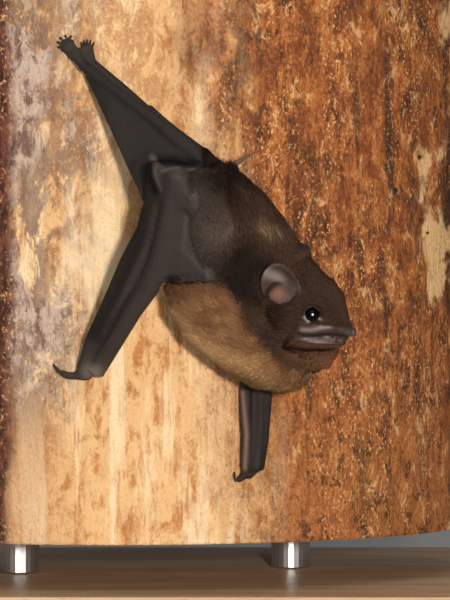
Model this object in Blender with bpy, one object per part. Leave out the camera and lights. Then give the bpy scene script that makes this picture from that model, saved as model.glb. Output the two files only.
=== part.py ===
# A greater sac-winged bat at rest, head down on a short length of trunk held by a plain stand.
# Lengths are millimetres here and are turned to metres as each mesh is made.
# Points on the animal are x, distance off the bark and z, so each one follows the curve of the trunk.
import math

import bmesh
import bpy
from mathutils import Vector

MM = 0.001
GAP = 0.3
SHEET = 0.6
EAR_WALL = 0.6
EYE_RADIUS = 1.05
CLAW_START = 0.4

LOG_HALF_WIDTH = 56.0
LOG_HALF_DEPTH = 42.0
LOG_TURN = math.radians(12)
LOG_FOOT = 14.0
LOG_TOP = 110.0
LOG_CHAMFER = 0.8
LOG_SIDES = 56
ROD_RADIUS = 3.5
ROD_PLACES = ((-24.0, -5.0), (24.0, 5.0))
ROD_INTO_LOG = 8.0
BASE_SIZE = (124.0, 96.0, 6.0)
BASE_ROUND = 10.0
BASE_EDGE = 0.8

TRUNK_START = (4.3, -58.4, 67.9)
TRUNK_FORWARD = (0.652, 0.051, -0.757)
TRUNK_UP = (0.71, -0.35, 0.61)
# Each is distance forward, top, bottom, half width and shift to the bark.
TRUNK_STATIONS = (
    (0.32, 10.62, 4.18, 4, 0),
    (1.9, 12.25, -0.3, 6.6, 0),
    (5.06, 12.77, -5.09, 8.6, 0),
    (9.17, 13.11, -9.91, 9.5, 0.1),
    (14.22, 12.79, -12.16, 9.4, 0.6),
    (18.65, 11.44, -12.7, 8.5, 1.3),
    (22.44, 8.49, -12.28, 7.6, 2),
    (26.55, 4.7, -11.4, 6.9, 2.8),
    (30.66, 3.43, -9.77, 5.8, 3.2),
    (33.5, 3.34, -7.77, 4.5, 3.4),
    (35.24, 2.8, -4.93, 2.9, 3.5),
)
NOSE_TIP = (32.6, -60.9, 48.8)
HEAD_FORWARD = (0.844, -0.201, -0.497)
HEAD_UP = (0.485, -0.15, 0.875)
# Each is distance back from the nose tip, top, bottom and half width.
HEAD_STATIONS = (
    (0.16, 0.32, -0.79, 0.85),
    (0.79, 0.63, -1.42, 1.6),
    (2.21, 1.42, -2.13, 2.35),
    (3.46, 2.83, -2.83, 3),
    (4.72, 4.25, -3.94, 3.9),
    (6.46, 5.36, -5.2, 4.8),
    (9.13, 5.83, -6.46, 5.7),
    (11.34, 5.91, -6.77, 6.1),
    (12.92, 5.67, -6.77, 6.1),
)
NECK_STATIONS = (
    (13.23, 6.06, -7.09, 6.2),
    (15.75, 5.99, -7.25, 6.2),
    (18.59, 5.36, -6.62, 5.8),
)
JAW_STATIONS = (
    (0.79, -1.73, -2.91, 1.1),
    (1.89, -2.21, -3.62, 1.7),
    (3.78, -3.15, -4.72, 2.4),
    (5.67, -4.09, -5.51, 3.1),
    (7.4, -4.72, -6.14, 3.4),
)
# Places on the head are distance back from the nose tip, up and out to the side.
EYE_PLACE = (6.59, -0.26, 4.6)
# The rim of the ear, round from its front root.
EAR_RIM = (
    (9.12, 1.44, 4.9),
    (10.14, 3.24, 7),
    (11.92, 5.15, 10.5),
    (14.15, 5.24, 12.5),
    (15.43, 3.17, 11.5),
    (15.39, 0.49, 9.5),
    (14.3, -1.45, 7.5),
    (12.47, -1.62, 5.8),
    (10.54, -0.54, 5),
)
EAR_BOTTOM = (12.35, 0.58, 2)
# Limb points are x, distance off the bark, z, then two half widths.
UPPER_ARM_RIGHT = (
    (16.15, 18, 57.95, 3.2, 3.2),
    (12.98, 22.5, 61.8, 3, 3),
    (9.29, 30, 67.02, 2.4, 2.4),
    (6.57, 32.3, 71.04, 1.8, 1.8),
    (5.29, 33, 72.75, 1.45, 1.45),
)
FOREARM_RIGHT = (
    (5.07, 33.2, 73.42, 1.9, 1.9),
    (4.08, 28.8, 68.4, 1.7, 1.4),
    (3.07, 24.3, 63.59, 1.7, 1.3),
    (1.91, 20.7, 59.61, 1.7, 1.3),
    (0.1, 16.9, 55.73, 1.7, 1.3),
    (-2.37, 13.4, 52.42, 1.6, 1.3),
    (-5.57, 8.3, 47.28, 1.5, 1.3),
    (-8.66, 3.6, 42.68, 1.6, 1.3),
)
HAND_RIGHT = (
    (1.54, 31, 74.87, 1, 1),
    (0.81, 26.5, 69.39, 1.1, 1),
    (-0.53, 22.5, 64.87, 1.1, 1.1),
    (-3.18, 17.5, 59.96, 1.2, 1.1),
    (-6.26, 11, 53.36, 1.2, 1.1),
    (-9.05, 5.8, 47.56, 1.3, 1.1),
    (-10.33, 2.6, 43.14, 1.5, 1.2),
    (-10.03, 2, 41.67, 1.3, 1.1),
)
THUMB_RIGHT = (
    (-10.68, 2, 41.99, 0.9, 0.8),
    (-12.33, 1.7, 41.65, 0.65, 0.65),
    (-13.65, 1.4, 41.81, 0.6, 0.6),
    (-14.48, 1.2, 42.29, 0.5, 0.5),
)
THUMB_CLAW_RIGHT = (
    (-14.24, 1.2, 42.21, 0.42, 0.42),
    (-14.96, 1.35, 42.61, 0.36, 0.36),
    (-15.55, 1.1, 43.18, 0.25, 0.25),
    (-15.74, 0.75, 43.57, 0.14, 0.14),
)
UPPER_ARM_LEFT = (
    (18.1, 14, 56.87, 2.8, 2.8),
    (18.5, 8.5, 60.14, 2.3, 2.3),
    (18.21, 5.8, 64.56, 1.9, 1.9),
    (17.73, 5, 68.31, 1.6, 1.6),
)
FOREARM_LEFT = (
    (17.73, 4.9, 68.97, 1.5, 1.5),
    (18.22, 4.8, 62.14, 1.4, 1.4),
    (18.39, 4.4, 54, 1.4, 1.4),
    (18.4, 3.9, 45.84, 1.5, 1.4),
    (18.41, 3.3, 37.67, 1.5, 1.3),
    (18, 2.7, 31.11, 1.4, 1.3),
    (17.27, 2.4, 26.53, 1.4, 1.3),
)
HAND_LEFT = (
    (15.79, 3.4, 66.71, 0.9, 0.9),
    (15.62, 3.4, 60.19, 1, 1),
    (15.62, 3.3, 54, 1, 1),
    (15.63, 3, 45.84, 1.1, 1),
    (15.63, 2.7, 37.68, 1.1, 1),
    (15.88, 2.2, 31.12, 1.1, 1),
    (15.96, 1.9, 26.86, 1.3, 1.1),
    (16.29, 1.8, 25.37, 1.2, 1),
)
THUMB_LEFT = (
    (15.63, 1.8, 25.55, 0.8, 0.8),
    (14.82, 1.5, 24.89, 0.6, 0.6),
    (14.33, 1.3, 24.56, 0.5, 0.5),
)
THUMB_CLAW_LEFT = (
    (14.49, 1.3, 24.56, 0.4, 0.4),
    (13.97, 1.35, 24.82, 0.34, 0.34),
    (13.67, 1.1, 25.38, 0.24, 0.24),
    (13.76, 0.75, 25.85, 0.14, 0.14),
)
THIGH_RIGHT = (
    (13.3, 18, 70.4, 2.6, 2.6),
    (9.05, 17, 75.44, 2.1, 2.1),
    (5.08, 14.8, 79.14, 1.5, 1.5),
    (2.85, 13.6, 81.09, 1.3, 1.3),
)
SHANK_RIGHT = (
    (3.01, 13.7, 80.93, 1.25, 1.25),
    (-1.36, 10.2, 84.54, 1, 1),
    (-5.94, 7, 88.03, 0.85, 0.85),
    (-10.77, 3.6, 91.85, 0.8, 0.8),
)
THIGH_LEFT = (
    (13.96, 12.5, 70.6, 2.6, 2.6),
    (10.44, 9.5, 74.85, 2, 2),
    (7.37, 6.8, 77.68, 1.5, 1.5),
    (5.58, 5.6, 79.17, 1.3, 1.3),
)
SHANK_LEFT = (
    (5.75, 5.7, 79.01, 1.25, 1.25),
    (0.72, 4.2, 83.41, 1, 1),
    (-4.31, 3.2, 88.15, 0.85, 0.85),
    (-9.36, 2.4, 92.51, 0.75, 0.75),
)
FOOT_RIGHT = (
    (-10.6, 3.7, 91.68, 0.8, 0.75),
    (-11.46, 2.7, 92.9, 0.85, 0.7),
    (-12.32, 1.8, 94.12, 1.2, 0.65),
    (-12.83, 1.4, 94.72, 1.1, 0.55),
)
FOOT_LEFT = (
    (-9.28, 2.5, 92.34, 0.75, 0.7),
    (-9.62, 2.1, 93.26, 0.8, 0.65),
    (-9.97, 1.6, 94.12, 1.05, 0.6),
    (-10.14, 1.4, 94.54, 0.95, 0.5),
)
TOES_RIGHT = (
    ((-12.47, 1.5, 93.88), (-14.41, 1, 94.85), (-15.15, 0.5, 95.29)),
    ((-12.6, 1.5, 94.21), (-14.53, 1, 95.54), (-15.21, 0.5, 96.14)),
    ((-12.63, 1.5, 94.5), (-14.23, 1, 96.19), (-14.75, 0.5, 96.82)),
    ((-12.44, 1.5, 94.66), (-13.58, 1, 96.5), (-13.8, 0.5, 97.2)),
    ((-12.11, 1.5, 94.66), (-12.82, 1, 96.34), (-12.75, 0.5, 97.06)),
)
TOES_LEFT = (
    ((-10.51, 1.5, 94.26), (-10.96, 1, 95.12), (-11.28, 0.5, 96.04)),
    ((-10.33, 1.5, 94.45), (-10.64, 1, 95.38), (-10.79, 0.5, 96.33)),
    ((-10.12, 1.5, 94.55), (-10.24, 1, 95.47), (-10.24, 0.5, 96.46)),
    ((-9.89, 1.5, 94.48), (-9.82, 1, 95.37), (-9.65, 0.5, 96.33)),
    ((-9.7, 1.5, 94.29), (-9.43, 1, 95.08), (-9.09, 0.5, 95.97)),
)
TAIL = (
    (12.67, 20, 73.46, 1.3, 1.3),
    (13.93, 19, 75.56, 0.9, 0.9),
    (15.52, 17, 76.63, 0.5, 0.5),
    (16.97, 15, 77.47, 0.35, 0.35),
    (17.95, 13.5, 77.96, 0.22, 0.22),
)
# Rows of the skin sheets run from one bone or edge to the other.
LEG_SHEET_RIGHT = (
    ((-10.77, 3.5, 91.69), (-10.46, 3.3, 91.22), (-9.98, 3.1, 90.1)),
    ((-5.94, 7, 88.03), (-6.58, 7, 86.75), (-7.22, 7, 84.02)),
    ((-1.36, 10.2, 84.54), (-2.96, 9.8, 82.09), (-4.97, 11.5, 78.96)),
    ((2.85, 13.6, 81.09), (-0.32, 13, 78.1), (-3.1, 15, 74.83)),
    ((9.05, 17, 75.44), (5.16, 19.5, 73.41), (-1.18, 21.5, 71.11)),
    ((13.3, 18.5, 71.01), (5.87, 26, 69.43), (0.15, 24.8, 67.59)),
)
FLANK_SHEET_RIGHT = (
    ((5.66, 32.6, 73.15), (9.58, 27, 73.89), (14.24, 19.5, 73.81)),
    ((6.87, 32, 70.75), (10.82, 28.4, 70.61), (15.49, 21.5, 69.67)),
    ((8.99, 30.2, 67.62), (12.66, 27.6, 66.8), (16.42, 22.5, 65.58)),
)
ARM_SHEET_RIGHT = (
    ((5.66, 32.6, 72.09), (5.2, 32, 71.8), (4.58, 31.2, 71.68)),
    ((8.08, 31, 68.81), (6.23, 29.8, 67.46), (3.91, 27.8, 67.51)),
    ((10.82, 28.6, 64.92), (7.74, 27.8, 62.77), (2.9, 23.6, 62.83)),
    ((13.28, 27.6, 61.41), (9.59, 28.2, 59.23), (1.75, 20.5, 59.3)),
    ((14.52, 26.5, 57.41), (9.59, 28.2, 56.85), (1.22, 18, 56.98)),
)
FOLD_SHEET_RIGHT = (
    ((4.07, 28.4, 68.42), (0.8, 26, 68.94)),
    ((3.06, 23.9, 63.6), (-1.02, 21.5, 63.96)),
    ((1.9, 20.3, 59.62), (-3.35, 17, 59.65)),
    ((-2.38, 13, 52.42), (-6.61, 10.3, 52.73)),
    ((-5.58, 7.9, 47.27), (-9.23, 5.3, 47.23)),
    ((-8.16, 4, 43.34), (-10.32, 2.9, 43.63)),
)
LEG_SHEET_LEFT = (
    ((-9.36, 2.4, 92.43), (-9.37, 2.3, 92.11), (-9.38, 2.1, 91.8)),
    ((-4.31, 3.2, 88.15), (-4.8, 3, 87.03), (-5.29, 2.8, 85.75)),
    ((0.72, 4.2, 83.41), (0.07, 3.8, 81.5), (-0.26, 3.4, 79.57)),
    ((5.58, 5.6, 79.17), (5.57, 4.8, 76.63), (6.21, 4, 74.73)),
    ((10.44, 9.5, 74.85), (11.72, 7, 71.75), (13.99, 4.8, 70.23)),
    ((15.25, 11, 70.67), (16.24, 8, 68.85), (17.56, 5.2, 67.98)),
)
ARM_SHEET_LEFT = (
    ((18.21, 5.8, 64.56), (17.57, 5, 65.71), (16.6, 4, 65.73)),
    ((18.5, 8.5, 60.14), (18.53, 6.5, 60.16), (18.22, 4.7, 60.84)),
    ((19.44, 11, 56.89), (19.49, 7.5, 57.24), (18.39, 4.5, 55.63)),
)
TAIL_SHEET = (
    ((-1.36, 10.2, 84.54), (0.15, 7, 85.16), (0.72, 4.2, 83.58)),
    ((2.85, 13.6, 81.09), (5.01, 10, 81.01), (5.58, 5.6, 79.33)),
    ((9.05, 17, 75.44), (9.5, 14, 77.81), (10.44, 9.5, 75.01)),
    ((13.3, 18, 71.34), (13.31, 15.5, 74.29), (13.96, 12.5, 71.56)),
)


def bark_y(x):
    """The front of the turned oval trunk at this x."""
    cos_turn = math.cos(LOG_TURN)
    sin_turn = math.sin(LOG_TURN)
    a = (sin_turn / LOG_HALF_WIDTH) ** 2 + (cos_turn / LOG_HALF_DEPTH) ** 2
    b = 2 * x * cos_turn * sin_turn * (LOG_HALF_WIDTH**-2 - LOG_HALF_DEPTH**-2)
    c = (x * cos_turn / LOG_HALF_WIDTH) ** 2 + (x * sin_turn / LOG_HALF_DEPTH) ** 2 - 1
    return (-b - math.sqrt(b * b - 4 * a * c)) / (2 * a)


def on_bark(point):
    x, off, z = point[:3]
    return Vector((x, bark_y(x) - off, z))


def clear_scene():
    for old in list(bpy.data.objects):
        bpy.data.objects.remove(old)


def material(name, colour, roughness, metallic=0.0):
    made = bpy.data.materials.new(name)
    made.use_nodes = True
    shader = made.node_tree.nodes["Principled BSDF"]
    shader.inputs["Base Color"].default_value = (*colour, 1.0)
    shader.inputs["Roughness"].default_value = roughness
    shader.inputs["Metallic"].default_value = metallic
    return made


def add_object(name, points, faces, finish, origin=None):
    """A closed mesh from millimetre points, its origin at its own root."""
    root = Vector(origin) if origin is not None else Vector(points[0])
    mesh = bpy.data.meshes.new(name)
    mesh.from_pydata([(Vector(p) - root) * MM for p in points], [], faces)
    built = bmesh.new()
    built.from_mesh(mesh)
    bmesh.ops.recalc_face_normals(built, faces=built.faces)
    if built.calc_volume(signed=True) < 0:
        bmesh.ops.reverse_faces(built, faces=built.faces)
    bmesh.ops.triangulate(built, faces=[f for f in built.faces if len(f.verts) > 4])
    built.to_mesh(mesh)
    built.free()
    obj = bpy.data.objects.new(name, mesh)
    obj.location = root * MM
    bpy.context.scene.collection.objects.link(obj)
    if finish is None:
        obj.hide_render = True
        obj.display_type = "WIRE"
    else:
        mesh.materials.append(finish)
    return obj


def join_rings(rings, first_pole=None, last_pole=None):
    """Points and faces of rings joined in order, closed by poles or flat ends."""
    sides = len(rings[0])
    points = [p for ring in rings for p in ring]
    faces = []
    for k in range(len(rings) - 1):
        for i in range(sides):
            j = (i + 1) % sides
            low = k * sides
            faces.append((low + i, low + j, low + sides + j, low + sides + i))
    last = (len(rings) - 1) * sides
    if first_pole is None:
        faces.append(tuple(reversed(range(sides))))
    else:
        points.append(first_pole)
        pole = len(points) - 1
        faces += [((i + 1) % sides, i, pole) for i in range(sides)]
    if last_pole is None:
        faces.append(tuple(range(last, last + sides)))
    else:
        points.append(last_pole)
        pole = len(points) - 1
        faces += [(last + i, last + (i + 1) % sides, pole) for i in range(sides)]
    return points, faces


def oval_ring(centre, across, upward, sides):
    ring = []
    for i in range(sides):
        angle = 2 * math.pi * (i + 0.5) / sides
        ring.append(centre + across * math.cos(angle) + upward * math.sin(angle))
    return ring


def tube(name, centres, widths, heights, up, finish, sides=10, ends=0.7, grow=0.0, flat=()):
    """A rounded limb through its centres. Ends named in flat are cut square."""
    rings = []
    count = len(centres)
    for k, centre in enumerate(centres):
        along = (centres[min(k + 1, count - 1)] - centres[max(k - 1, 0)]).normalized()
        across = along.cross(up).normalized()
        lift = across.cross(along)
        rings.append(oval_ring(centre, across * (widths[k] + grow), lift * (heights[k] + grow), sides))
    start = (centres[0] - centres[1]).normalized()
    finish_way = (centres[-1] - centres[-2]).normalized()
    first = None
    last = None
    if "first" not in flat:
        first = centres[0] + start * (heights[0] * ends + grow)
    elif grow:
        rings[0] = [p + start * grow for p in rings[0]]
    if "last" not in flat:
        last = centres[-1] + finish_way * (heights[-1] * ends + grow)
    elif grow:
        rings[-1] = [p + finish_way * grow for p in rings[-1]]
    points, faces = join_rings(rings, first, last)
    return add_object(name, points, faces, finish, centres[0])


def limb(name, table, finish, sides=10, grow=0.0, up=(0, -1, 0)):
    centres = [on_bark(row) for row in table]
    widths = [row[3] for row in table]
    heights = [row[4] for row in table]
    return tube(name, centres, widths, heights, Vector(up), finish, sides, grow=grow)


def cutter_name(name):
    return "clear_" + name


def limb_and_clearance(name, table, finish, sides=10, up=(0, -1, 0)):
    limb(cutter_name(name), table, None, sides, GAP, up)
    return limb(name, table, finish, sides, 0.0, up)


def trunk(name, finish, grow=0.0):
    side = Vector(TRUNK_FORWARD).cross(Vector(TRUNK_UP)).normalized()
    lift = side.cross(Vector(TRUNK_FORWARD))
    centres = []
    heights = []
    for along, top, bottom, _, back in TRUNK_STATIONS:
        middle = (top + bottom) / 2
        centres.append(Vector(TRUNK_START) + Vector(TRUNK_FORWARD) * along + lift * middle - side * back)
        heights.append((top - bottom) / 2)
    widths = [row[3] for row in TRUNK_STATIONS]
    rings = []
    for centre, width, height in zip(centres, widths, heights):
        rings.append(oval_ring(centre, side * (width + grow), lift * (height + grow), 24))
    ends = Vector(TRUNK_FORWARD)
    first = centres[0] - ends * (heights[0] * 0.5 + grow)
    last = centres[-1] + ends * (heights[-1] * 0.45 + grow)
    points, faces = join_rings(rings, first, last)
    return add_object(name, points, faces, finish, centres[0])


def head_frame():
    forward = Vector(HEAD_FORWARD).normalized()
    side = forward.cross(Vector(HEAD_UP)).normalized()
    return forward, side, side.cross(forward)


def head_piece(name, stations, finish, grow=0.0, flat=(), sides=20, ends=0.6):
    forward, side, lift = head_frame()
    rings = []
    centres = []
    for back, top, bottom, width in stations:
        centre = Vector(NOSE_TIP) - forward * back + lift * (top + bottom) / 2
        centres.append(centre)
        height = (top - bottom) / 2
        rings.append(oval_ring(centre, side * (width + grow), lift * (height + grow), sides))
    front = stations[0][3]
    rear = stations[-1][3]
    first = centres[0] + forward * (front * ends + grow)
    last = centres[-1] - forward * (rear * ends + grow)
    if "first" in flat:
        first = None
        rings[0] = [p + forward * grow for p in rings[0]]
    if "last" in flat:
        last = None
        rings[-1] = [p - forward * grow for p in rings[-1]]
    points, faces = join_rings(rings, first, last)
    return add_object(name, points, faces, finish, centres[-1])


def on_head(place):
    forward, side, lift = head_frame()
    back, above, out = place
    return Vector(NOSE_TIP) - forward * back + lift * above + side * out


def mirror_across_head(point):
    side = head_frame()[1]
    return point - side * 2 * (point - Vector(NOSE_TIP)).dot(side)


def ear(name, finish, mirrored, grow=0.0):
    """A funnel of skin from a hidden bottom to its rim, with an even wall."""
    bottom = on_head(EAR_BOTTOM)
    rim = smooth_loop([on_head(p) for p in EAR_RIM], 2)
    middle = sum(rim, Vector()) / len(rim)
    axis = (middle - bottom).normalized()
    outside = []
    inside = []
    for step in (0.2, 0.45, 0.72, 1.0):
        outer = []
        inner = []
        for corner in rim:
            reach = corner - bottom
            height = reach.dot(axis)
            spread = reach - axis * height
            place = bottom + axis * height * step + spread * step**0.62
            inward = spread.normalized()
            outer.append(place + inward * grow)
            inner.append(place - inward * (EAR_WALL + grow) + axis * 0.25 * (1 - step))
        outside.append(outer)
        inside.append(inner)
    lip = [a.lerp(b, 0.5) + axis * (0.2 + grow) for a, b in zip(outside[-1], inside[-1])]
    rings = outside + [lip] + list(reversed(inside))
    last = bottom + axis * 1.2
    points, faces = join_rings(rings, bottom - axis * 0.2, last)
    if mirrored:
        points = [mirror_across_head(p) for p in points]
    return add_object(name, points, faces, finish, points[-2])


def smooth_loop(corners, times):
    """A closed loop rounded by cutting its corners, as Chaikin does."""
    for _ in range(times - 1):
        rounded = []
        for k, corner in enumerate(corners):
            after = corners[(k + 1) % len(corners)]
            rounded += [corner.lerp(after, 0.25), corner.lerp(after, 0.75)]
        corners = rounded
    return corners


def ball(name, centre, radius, finish):
    rings = []
    turns = 8
    for k in range(1, turns):
        angle = math.pi * k / turns
        level = centre + Vector((0, 0, radius * math.cos(angle)))
        wide = radius * math.sin(angle)
        rings.append(oval_ring(level, Vector((wide, 0, 0)), Vector((0, wide, 0)), 14))
    top = centre + Vector((0, 0, radius))
    under = centre - Vector((0, 0, radius))
    points, faces = join_rings(rings, top, under)
    return add_object(name, points, faces, finish, centre)


def between(a, b, parts):
    return [a.lerp(b, i / parts) for i in range(parts)]


def denser(rows, parts):
    """Rows of points with more points between them, both ways."""
    wide = []
    for row in rows:
        line = []
        for a, b in zip(row, row[1:]):
            line += between(a, b, parts)
        wide.append(line + [row[-1]])
    full = []
    for low, high in zip(wide, wide[1:]):
        columns = [between(a, b, parts) for a, b in zip(low, high)]
        for i in range(parts):
            full.append([column[i] for column in columns])
    return full + [wide[-1]]


def eased(rows):
    """The same grid with each inside point moved half way to its neighbours' middle."""
    result = [list(row) for row in rows]
    for i in range(1, len(rows) - 1):
        for j in range(1, len(rows[0]) - 1):
            around = rows[i - 1][j] + rows[i + 1][j] + rows[i][j - 1] + rows[i][j + 1]
            result[i][j] = rows[i][j].lerp(around / 4, 0.5)
    return result


def skin_sheet(name, table, finish, grow=0.0, parts=2):
    """A sheet of wing skin with an even thickness, closed all round."""
    rows = eased(denser([[on_bark(p) for p in row] for row in table], parts))
    tall = len(rows)
    wide = len(rows[0])
    half = SHEET / 2 + grow
    front = []
    rear = []
    for i in range(tall):
        for j in range(wide):
            down = rows[min(i + 1, tall - 1)][j] - rows[max(i - 1, 0)][j]
            along = rows[i][min(j + 1, wide - 1)] - rows[i][max(j - 1, 0)]
            normal = down.cross(along).normalized()
            front.append(rows[i][j] + normal * half)
            rear.append(rows[i][j] - normal * half)
    count = tall * wide
    faces = []
    for i in range(tall - 1):
        for j in range(wide - 1):
            a = i * wide + j
            faces.append((a, a + 1, a + wide + 1, a + wide))
            faces.append((count + a, count + a + wide, count + a + wide + 1, count + a + 1))
    edge = [j for j in range(wide)]
    edge += [i * wide + wide - 1 for i in range(1, tall)]
    edge += [(tall - 1) * wide + j for j in range(wide - 2, -1, -1)]
    edge += [i * wide for i in range(tall - 2, 0, -1)]
    for k, a in enumerate(edge):
        b = edge[(k + 1) % len(edge)]
        faces.append((b, a, count + a, count + b))
    return add_object(name, front + rear, faces, finish, rows[0][0])


def subtract(obj, names):
    """Cuts the grown copies of its neighbours from a piece, so that a thin gap is left."""
    cutters = bpy.data.collections.new("cut_from_" + obj.name)
    for name in names:
        cutters.objects.link(bpy.data.objects[cutter_name(name)])
    cut = obj.modifiers.new("gap", "BOOLEAN")
    cut.operation = "DIFFERENCE"
    cut.solver = "EXACT"
    cut.operand_type = "COLLECTION"
    cut.collection = cutters


def toe_rows(root, tip, end):
    root = on_bark(root)
    tip = on_bark(tip)
    end = on_bark(end)
    knuckle = root.lerp(tip, 0.5) + Vector((0, -0.35, 0))
    return root, knuckle, tip, end


def foot(name, table, toes, skin, horn, shank):
    """A foot joined with its five toes, and a claw at the end of each toe."""
    whole = limb(name, table, skin, 10)
    for k, (root, tip, end) in enumerate(toes):
        inner, knuckle, outer, claw_end = toe_rows(root, tip, end)
        toe = tube(
            f"join_{name}_{k + 1}", [inner, knuckle, outer], [0.42, 0.42, 0.36],
            [0.42, 0.42, 0.36], Vector((0, -1, 0)), None, 7,
        )
        join = whole.modifiers.new(f"toe_{k + 1}", "BOOLEAN")
        join.operation = "UNION"
        join.solver = "EXACT"
        join.object = toe
        start = outer + (outer - knuckle).normalized() * CLAW_START
        hook = start.lerp(claw_end, 0.5) + Vector((0, -0.15, 0.05))
        tube(
            f"{name}_claw_{k + 1}", [start, hook, claw_end], [0.24, 0.2, 0.12],
            [0.28, 0.24, 0.14], Vector((0, -1, 0)), horn, 6, flat=("first",),
        )
    subtract(whole, [shank])
    return whole


def oval_log(name, finish):
    """The cut length of trunk: an oval with shallow ridges and eased rims."""
    rings = []
    for height, inset in (
        (LOG_FOOT, LOG_CHAMFER), (LOG_FOOT + LOG_CHAMFER, 0.0), (46.0, 0.0),
        (78.0, 0.0), (LOG_TOP - LOG_CHAMFER, 0.0), (LOG_TOP, LOG_CHAMFER),
    ):
        ring = []
        for i in range(LOG_SIDES):
            angle = 2 * math.pi * i / LOG_SIDES
            x = (LOG_HALF_WIDTH - inset) * math.cos(angle)
            y = (LOG_HALF_DEPTH - inset) * math.sin(angle)
            ring.append(Vector((
                x * math.cos(LOG_TURN) - y * math.sin(LOG_TURN),
                x * math.sin(LOG_TURN) + y * math.cos(LOG_TURN),
                height,
            )))
        rings.append(ring)
    points, faces = join_rings(rings)
    log = add_object(name, points, faces, finish, (0, 0, LOG_FOOT))
    for k, (x, y) in enumerate(ROD_PLACES):
        bore = rod(f"bore_{k + 1}", x, y, None, GAP)
        cut = log.modifiers.new(f"bore_{k + 1}", "BOOLEAN")
        cut.operation = "DIFFERENCE"
        cut.solver = "EXACT"
        cut.object = bore
    return log


def rod(name, x, y, finish, grow=0.0):
    rings = []
    low = BASE_SIZE[2] + GAP - grow
    high = LOG_FOOT + ROD_INTO_LOG + grow
    for height in (low, high):
        wide = ROD_RADIUS + grow
        rings.append(oval_ring(Vector((x, y, height)), Vector((wide, 0, 0)), Vector((0, wide, 0)), 24))
    points, faces = join_rings(rings)
    return add_object(name, points, faces, finish, (x, y, low))


def stand_base(name, finish):
    """A flat plate with rounded corners and a small bevel above and below."""
    rings = []
    half_x = BASE_SIZE[0] / 2 - BASE_ROUND
    half_y = BASE_SIZE[1] / 2 - BASE_ROUND
    for height, inset in (
        (0.0, BASE_EDGE), (BASE_EDGE, 0.0), (BASE_SIZE[2] - BASE_EDGE, 0.0), (BASE_SIZE[2], BASE_EDGE),
    ):
        ring = []
        for corner in range(4):
            sign_x = (1, -1, -1, 1)[corner]
            sign_y = (1, 1, -1, -1)[corner]
            for i in range(7):
                angle = math.pi / 2 * (corner + i / 6)
                ring.append(Vector((
                    sign_x * half_x + (BASE_ROUND - inset) * math.cos(angle),
                    sign_y * half_y + (BASE_ROUND - inset) * math.sin(angle),
                    height,
                )))
        rings.append(ring)
    points, faces = join_rings(rings)
    return add_object(name, points, faces, finish, (0, 0, 0))


def attach(child, parent):
    """Parents a piece to its neighbour and leaves it where it stands."""
    lower = bpy.data.objects[child]
    upper = bpy.data.objects[parent]
    bpy.context.view_layer.update()
    lower.parent = upper
    lower.matrix_parent_inverse = upper.matrix_world.inverted()


clear_scene()

BACK_FUR = material("fur_back", (0.045, 0.032, 0.024), 0.85)
HEAD_FUR = material("fur_head", (0.05, 0.034, 0.026), 0.85)
FACE_SKIN = material("skin_face", (0.05, 0.045, 0.045), 0.5)
EAR_SKIN = material("skin_ear", (0.12, 0.075, 0.065), 0.6)
WING_SKIN = material("skin_wing", (0.03, 0.027, 0.026), 0.5)
FOOT_SKIN = material("skin_foot", (0.05, 0.045, 0.04), 0.6)
HORN = material("claw_horn", (0.03, 0.022, 0.018), 0.35)
EYE_GLOSS = material("eye_gloss", (0.005, 0.004, 0.004), 0.05)
BARK = material("log_wood", (0.55, 0.33, 0.17), 0.8)
STAND_BEECH = material("stand_beech", (0.62, 0.40, 0.22), 0.5)
ROD_STEEL = material("stand_steel", (0.55, 0.54, 0.52), 0.35, 1.0)

trunk(cutter_name("trunk"), None, GAP)
body = trunk("trunk", BACK_FUR)
head_piece(cutter_name("head"), HEAD_STATIONS, None, GAP, ("last",))
head = head_piece("head", HEAD_STATIONS, HEAD_FUR, 0.0, ("last",))
head_piece(cutter_name("neck"), NECK_STATIONS, None, GAP, ("first",))
neck = head_piece("neck", NECK_STATIONS, HEAD_FUR, 0.0, ("first",))
head_piece(cutter_name("head_and_neck"), HEAD_STATIONS[:-1] + NECK_STATIONS, None, GAP)
head_piece(cutter_name("lower_jaw"), JAW_STATIONS, None, GAP, (), 14, 0.35)
jaw = head_piece("lower_jaw", JAW_STATIONS, FACE_SKIN, 0.0, (), 14, 0.35)
eye_right_centre = on_head(EYE_PLACE)
eye_left_centre = mirror_across_head(eye_right_centre)
for eye_side, eye_centre in (("right", eye_right_centre), ("left", eye_left_centre)):
    ball(cutter_name(f"eye_{eye_side}"), eye_centre, EYE_RADIUS + GAP, None)
    ball(f"eye_{eye_side}", eye_centre, EYE_RADIUS, EYE_GLOSS)
subtract(head, ["lower_jaw", "eye_right", "eye_left"])
for ear_side in ("right", "left"):
    pinna = ear(f"ear_{ear_side}", EAR_SKIN, ear_side == "left")
    subtract(pinna, ["head_and_neck", "trunk"])

ARMS = (
    ("right", UPPER_ARM_RIGHT, FOREARM_RIGHT, HAND_RIGHT, THUMB_RIGHT, THUMB_CLAW_RIGHT),
    ("left", UPPER_ARM_LEFT, FOREARM_LEFT, HAND_LEFT, THUMB_LEFT, THUMB_CLAW_LEFT),
)
for side_name, upper, fore, hand, thumb, claw in ARMS:
    upper_arm = limb_and_clearance(f"upper_arm_{side_name}", upper, BACK_FUR)
    forearm = limb_and_clearance(f"forearm_{side_name}", fore, WING_SKIN)
    folded = limb_and_clearance(f"hand_{side_name}", hand, WING_SKIN)
    finger = limb_and_clearance(f"thumb_{side_name}", thumb, WING_SKIN, 8)
    nail = limb(f"thumb_claw_{side_name}", claw, HORN, 7)
    subtract(upper_arm, ["trunk", f"forearm_{side_name}"])
    subtract(folded, [f"forearm_{side_name}"])
    subtract(finger, [f"forearm_{side_name}", f"hand_{side_name}"])
    subtract(nail, [f"thumb_{side_name}"])
subtract(body, ["head", "neck", "lower_jaw", "forearm_right", "forearm_left"])

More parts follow.
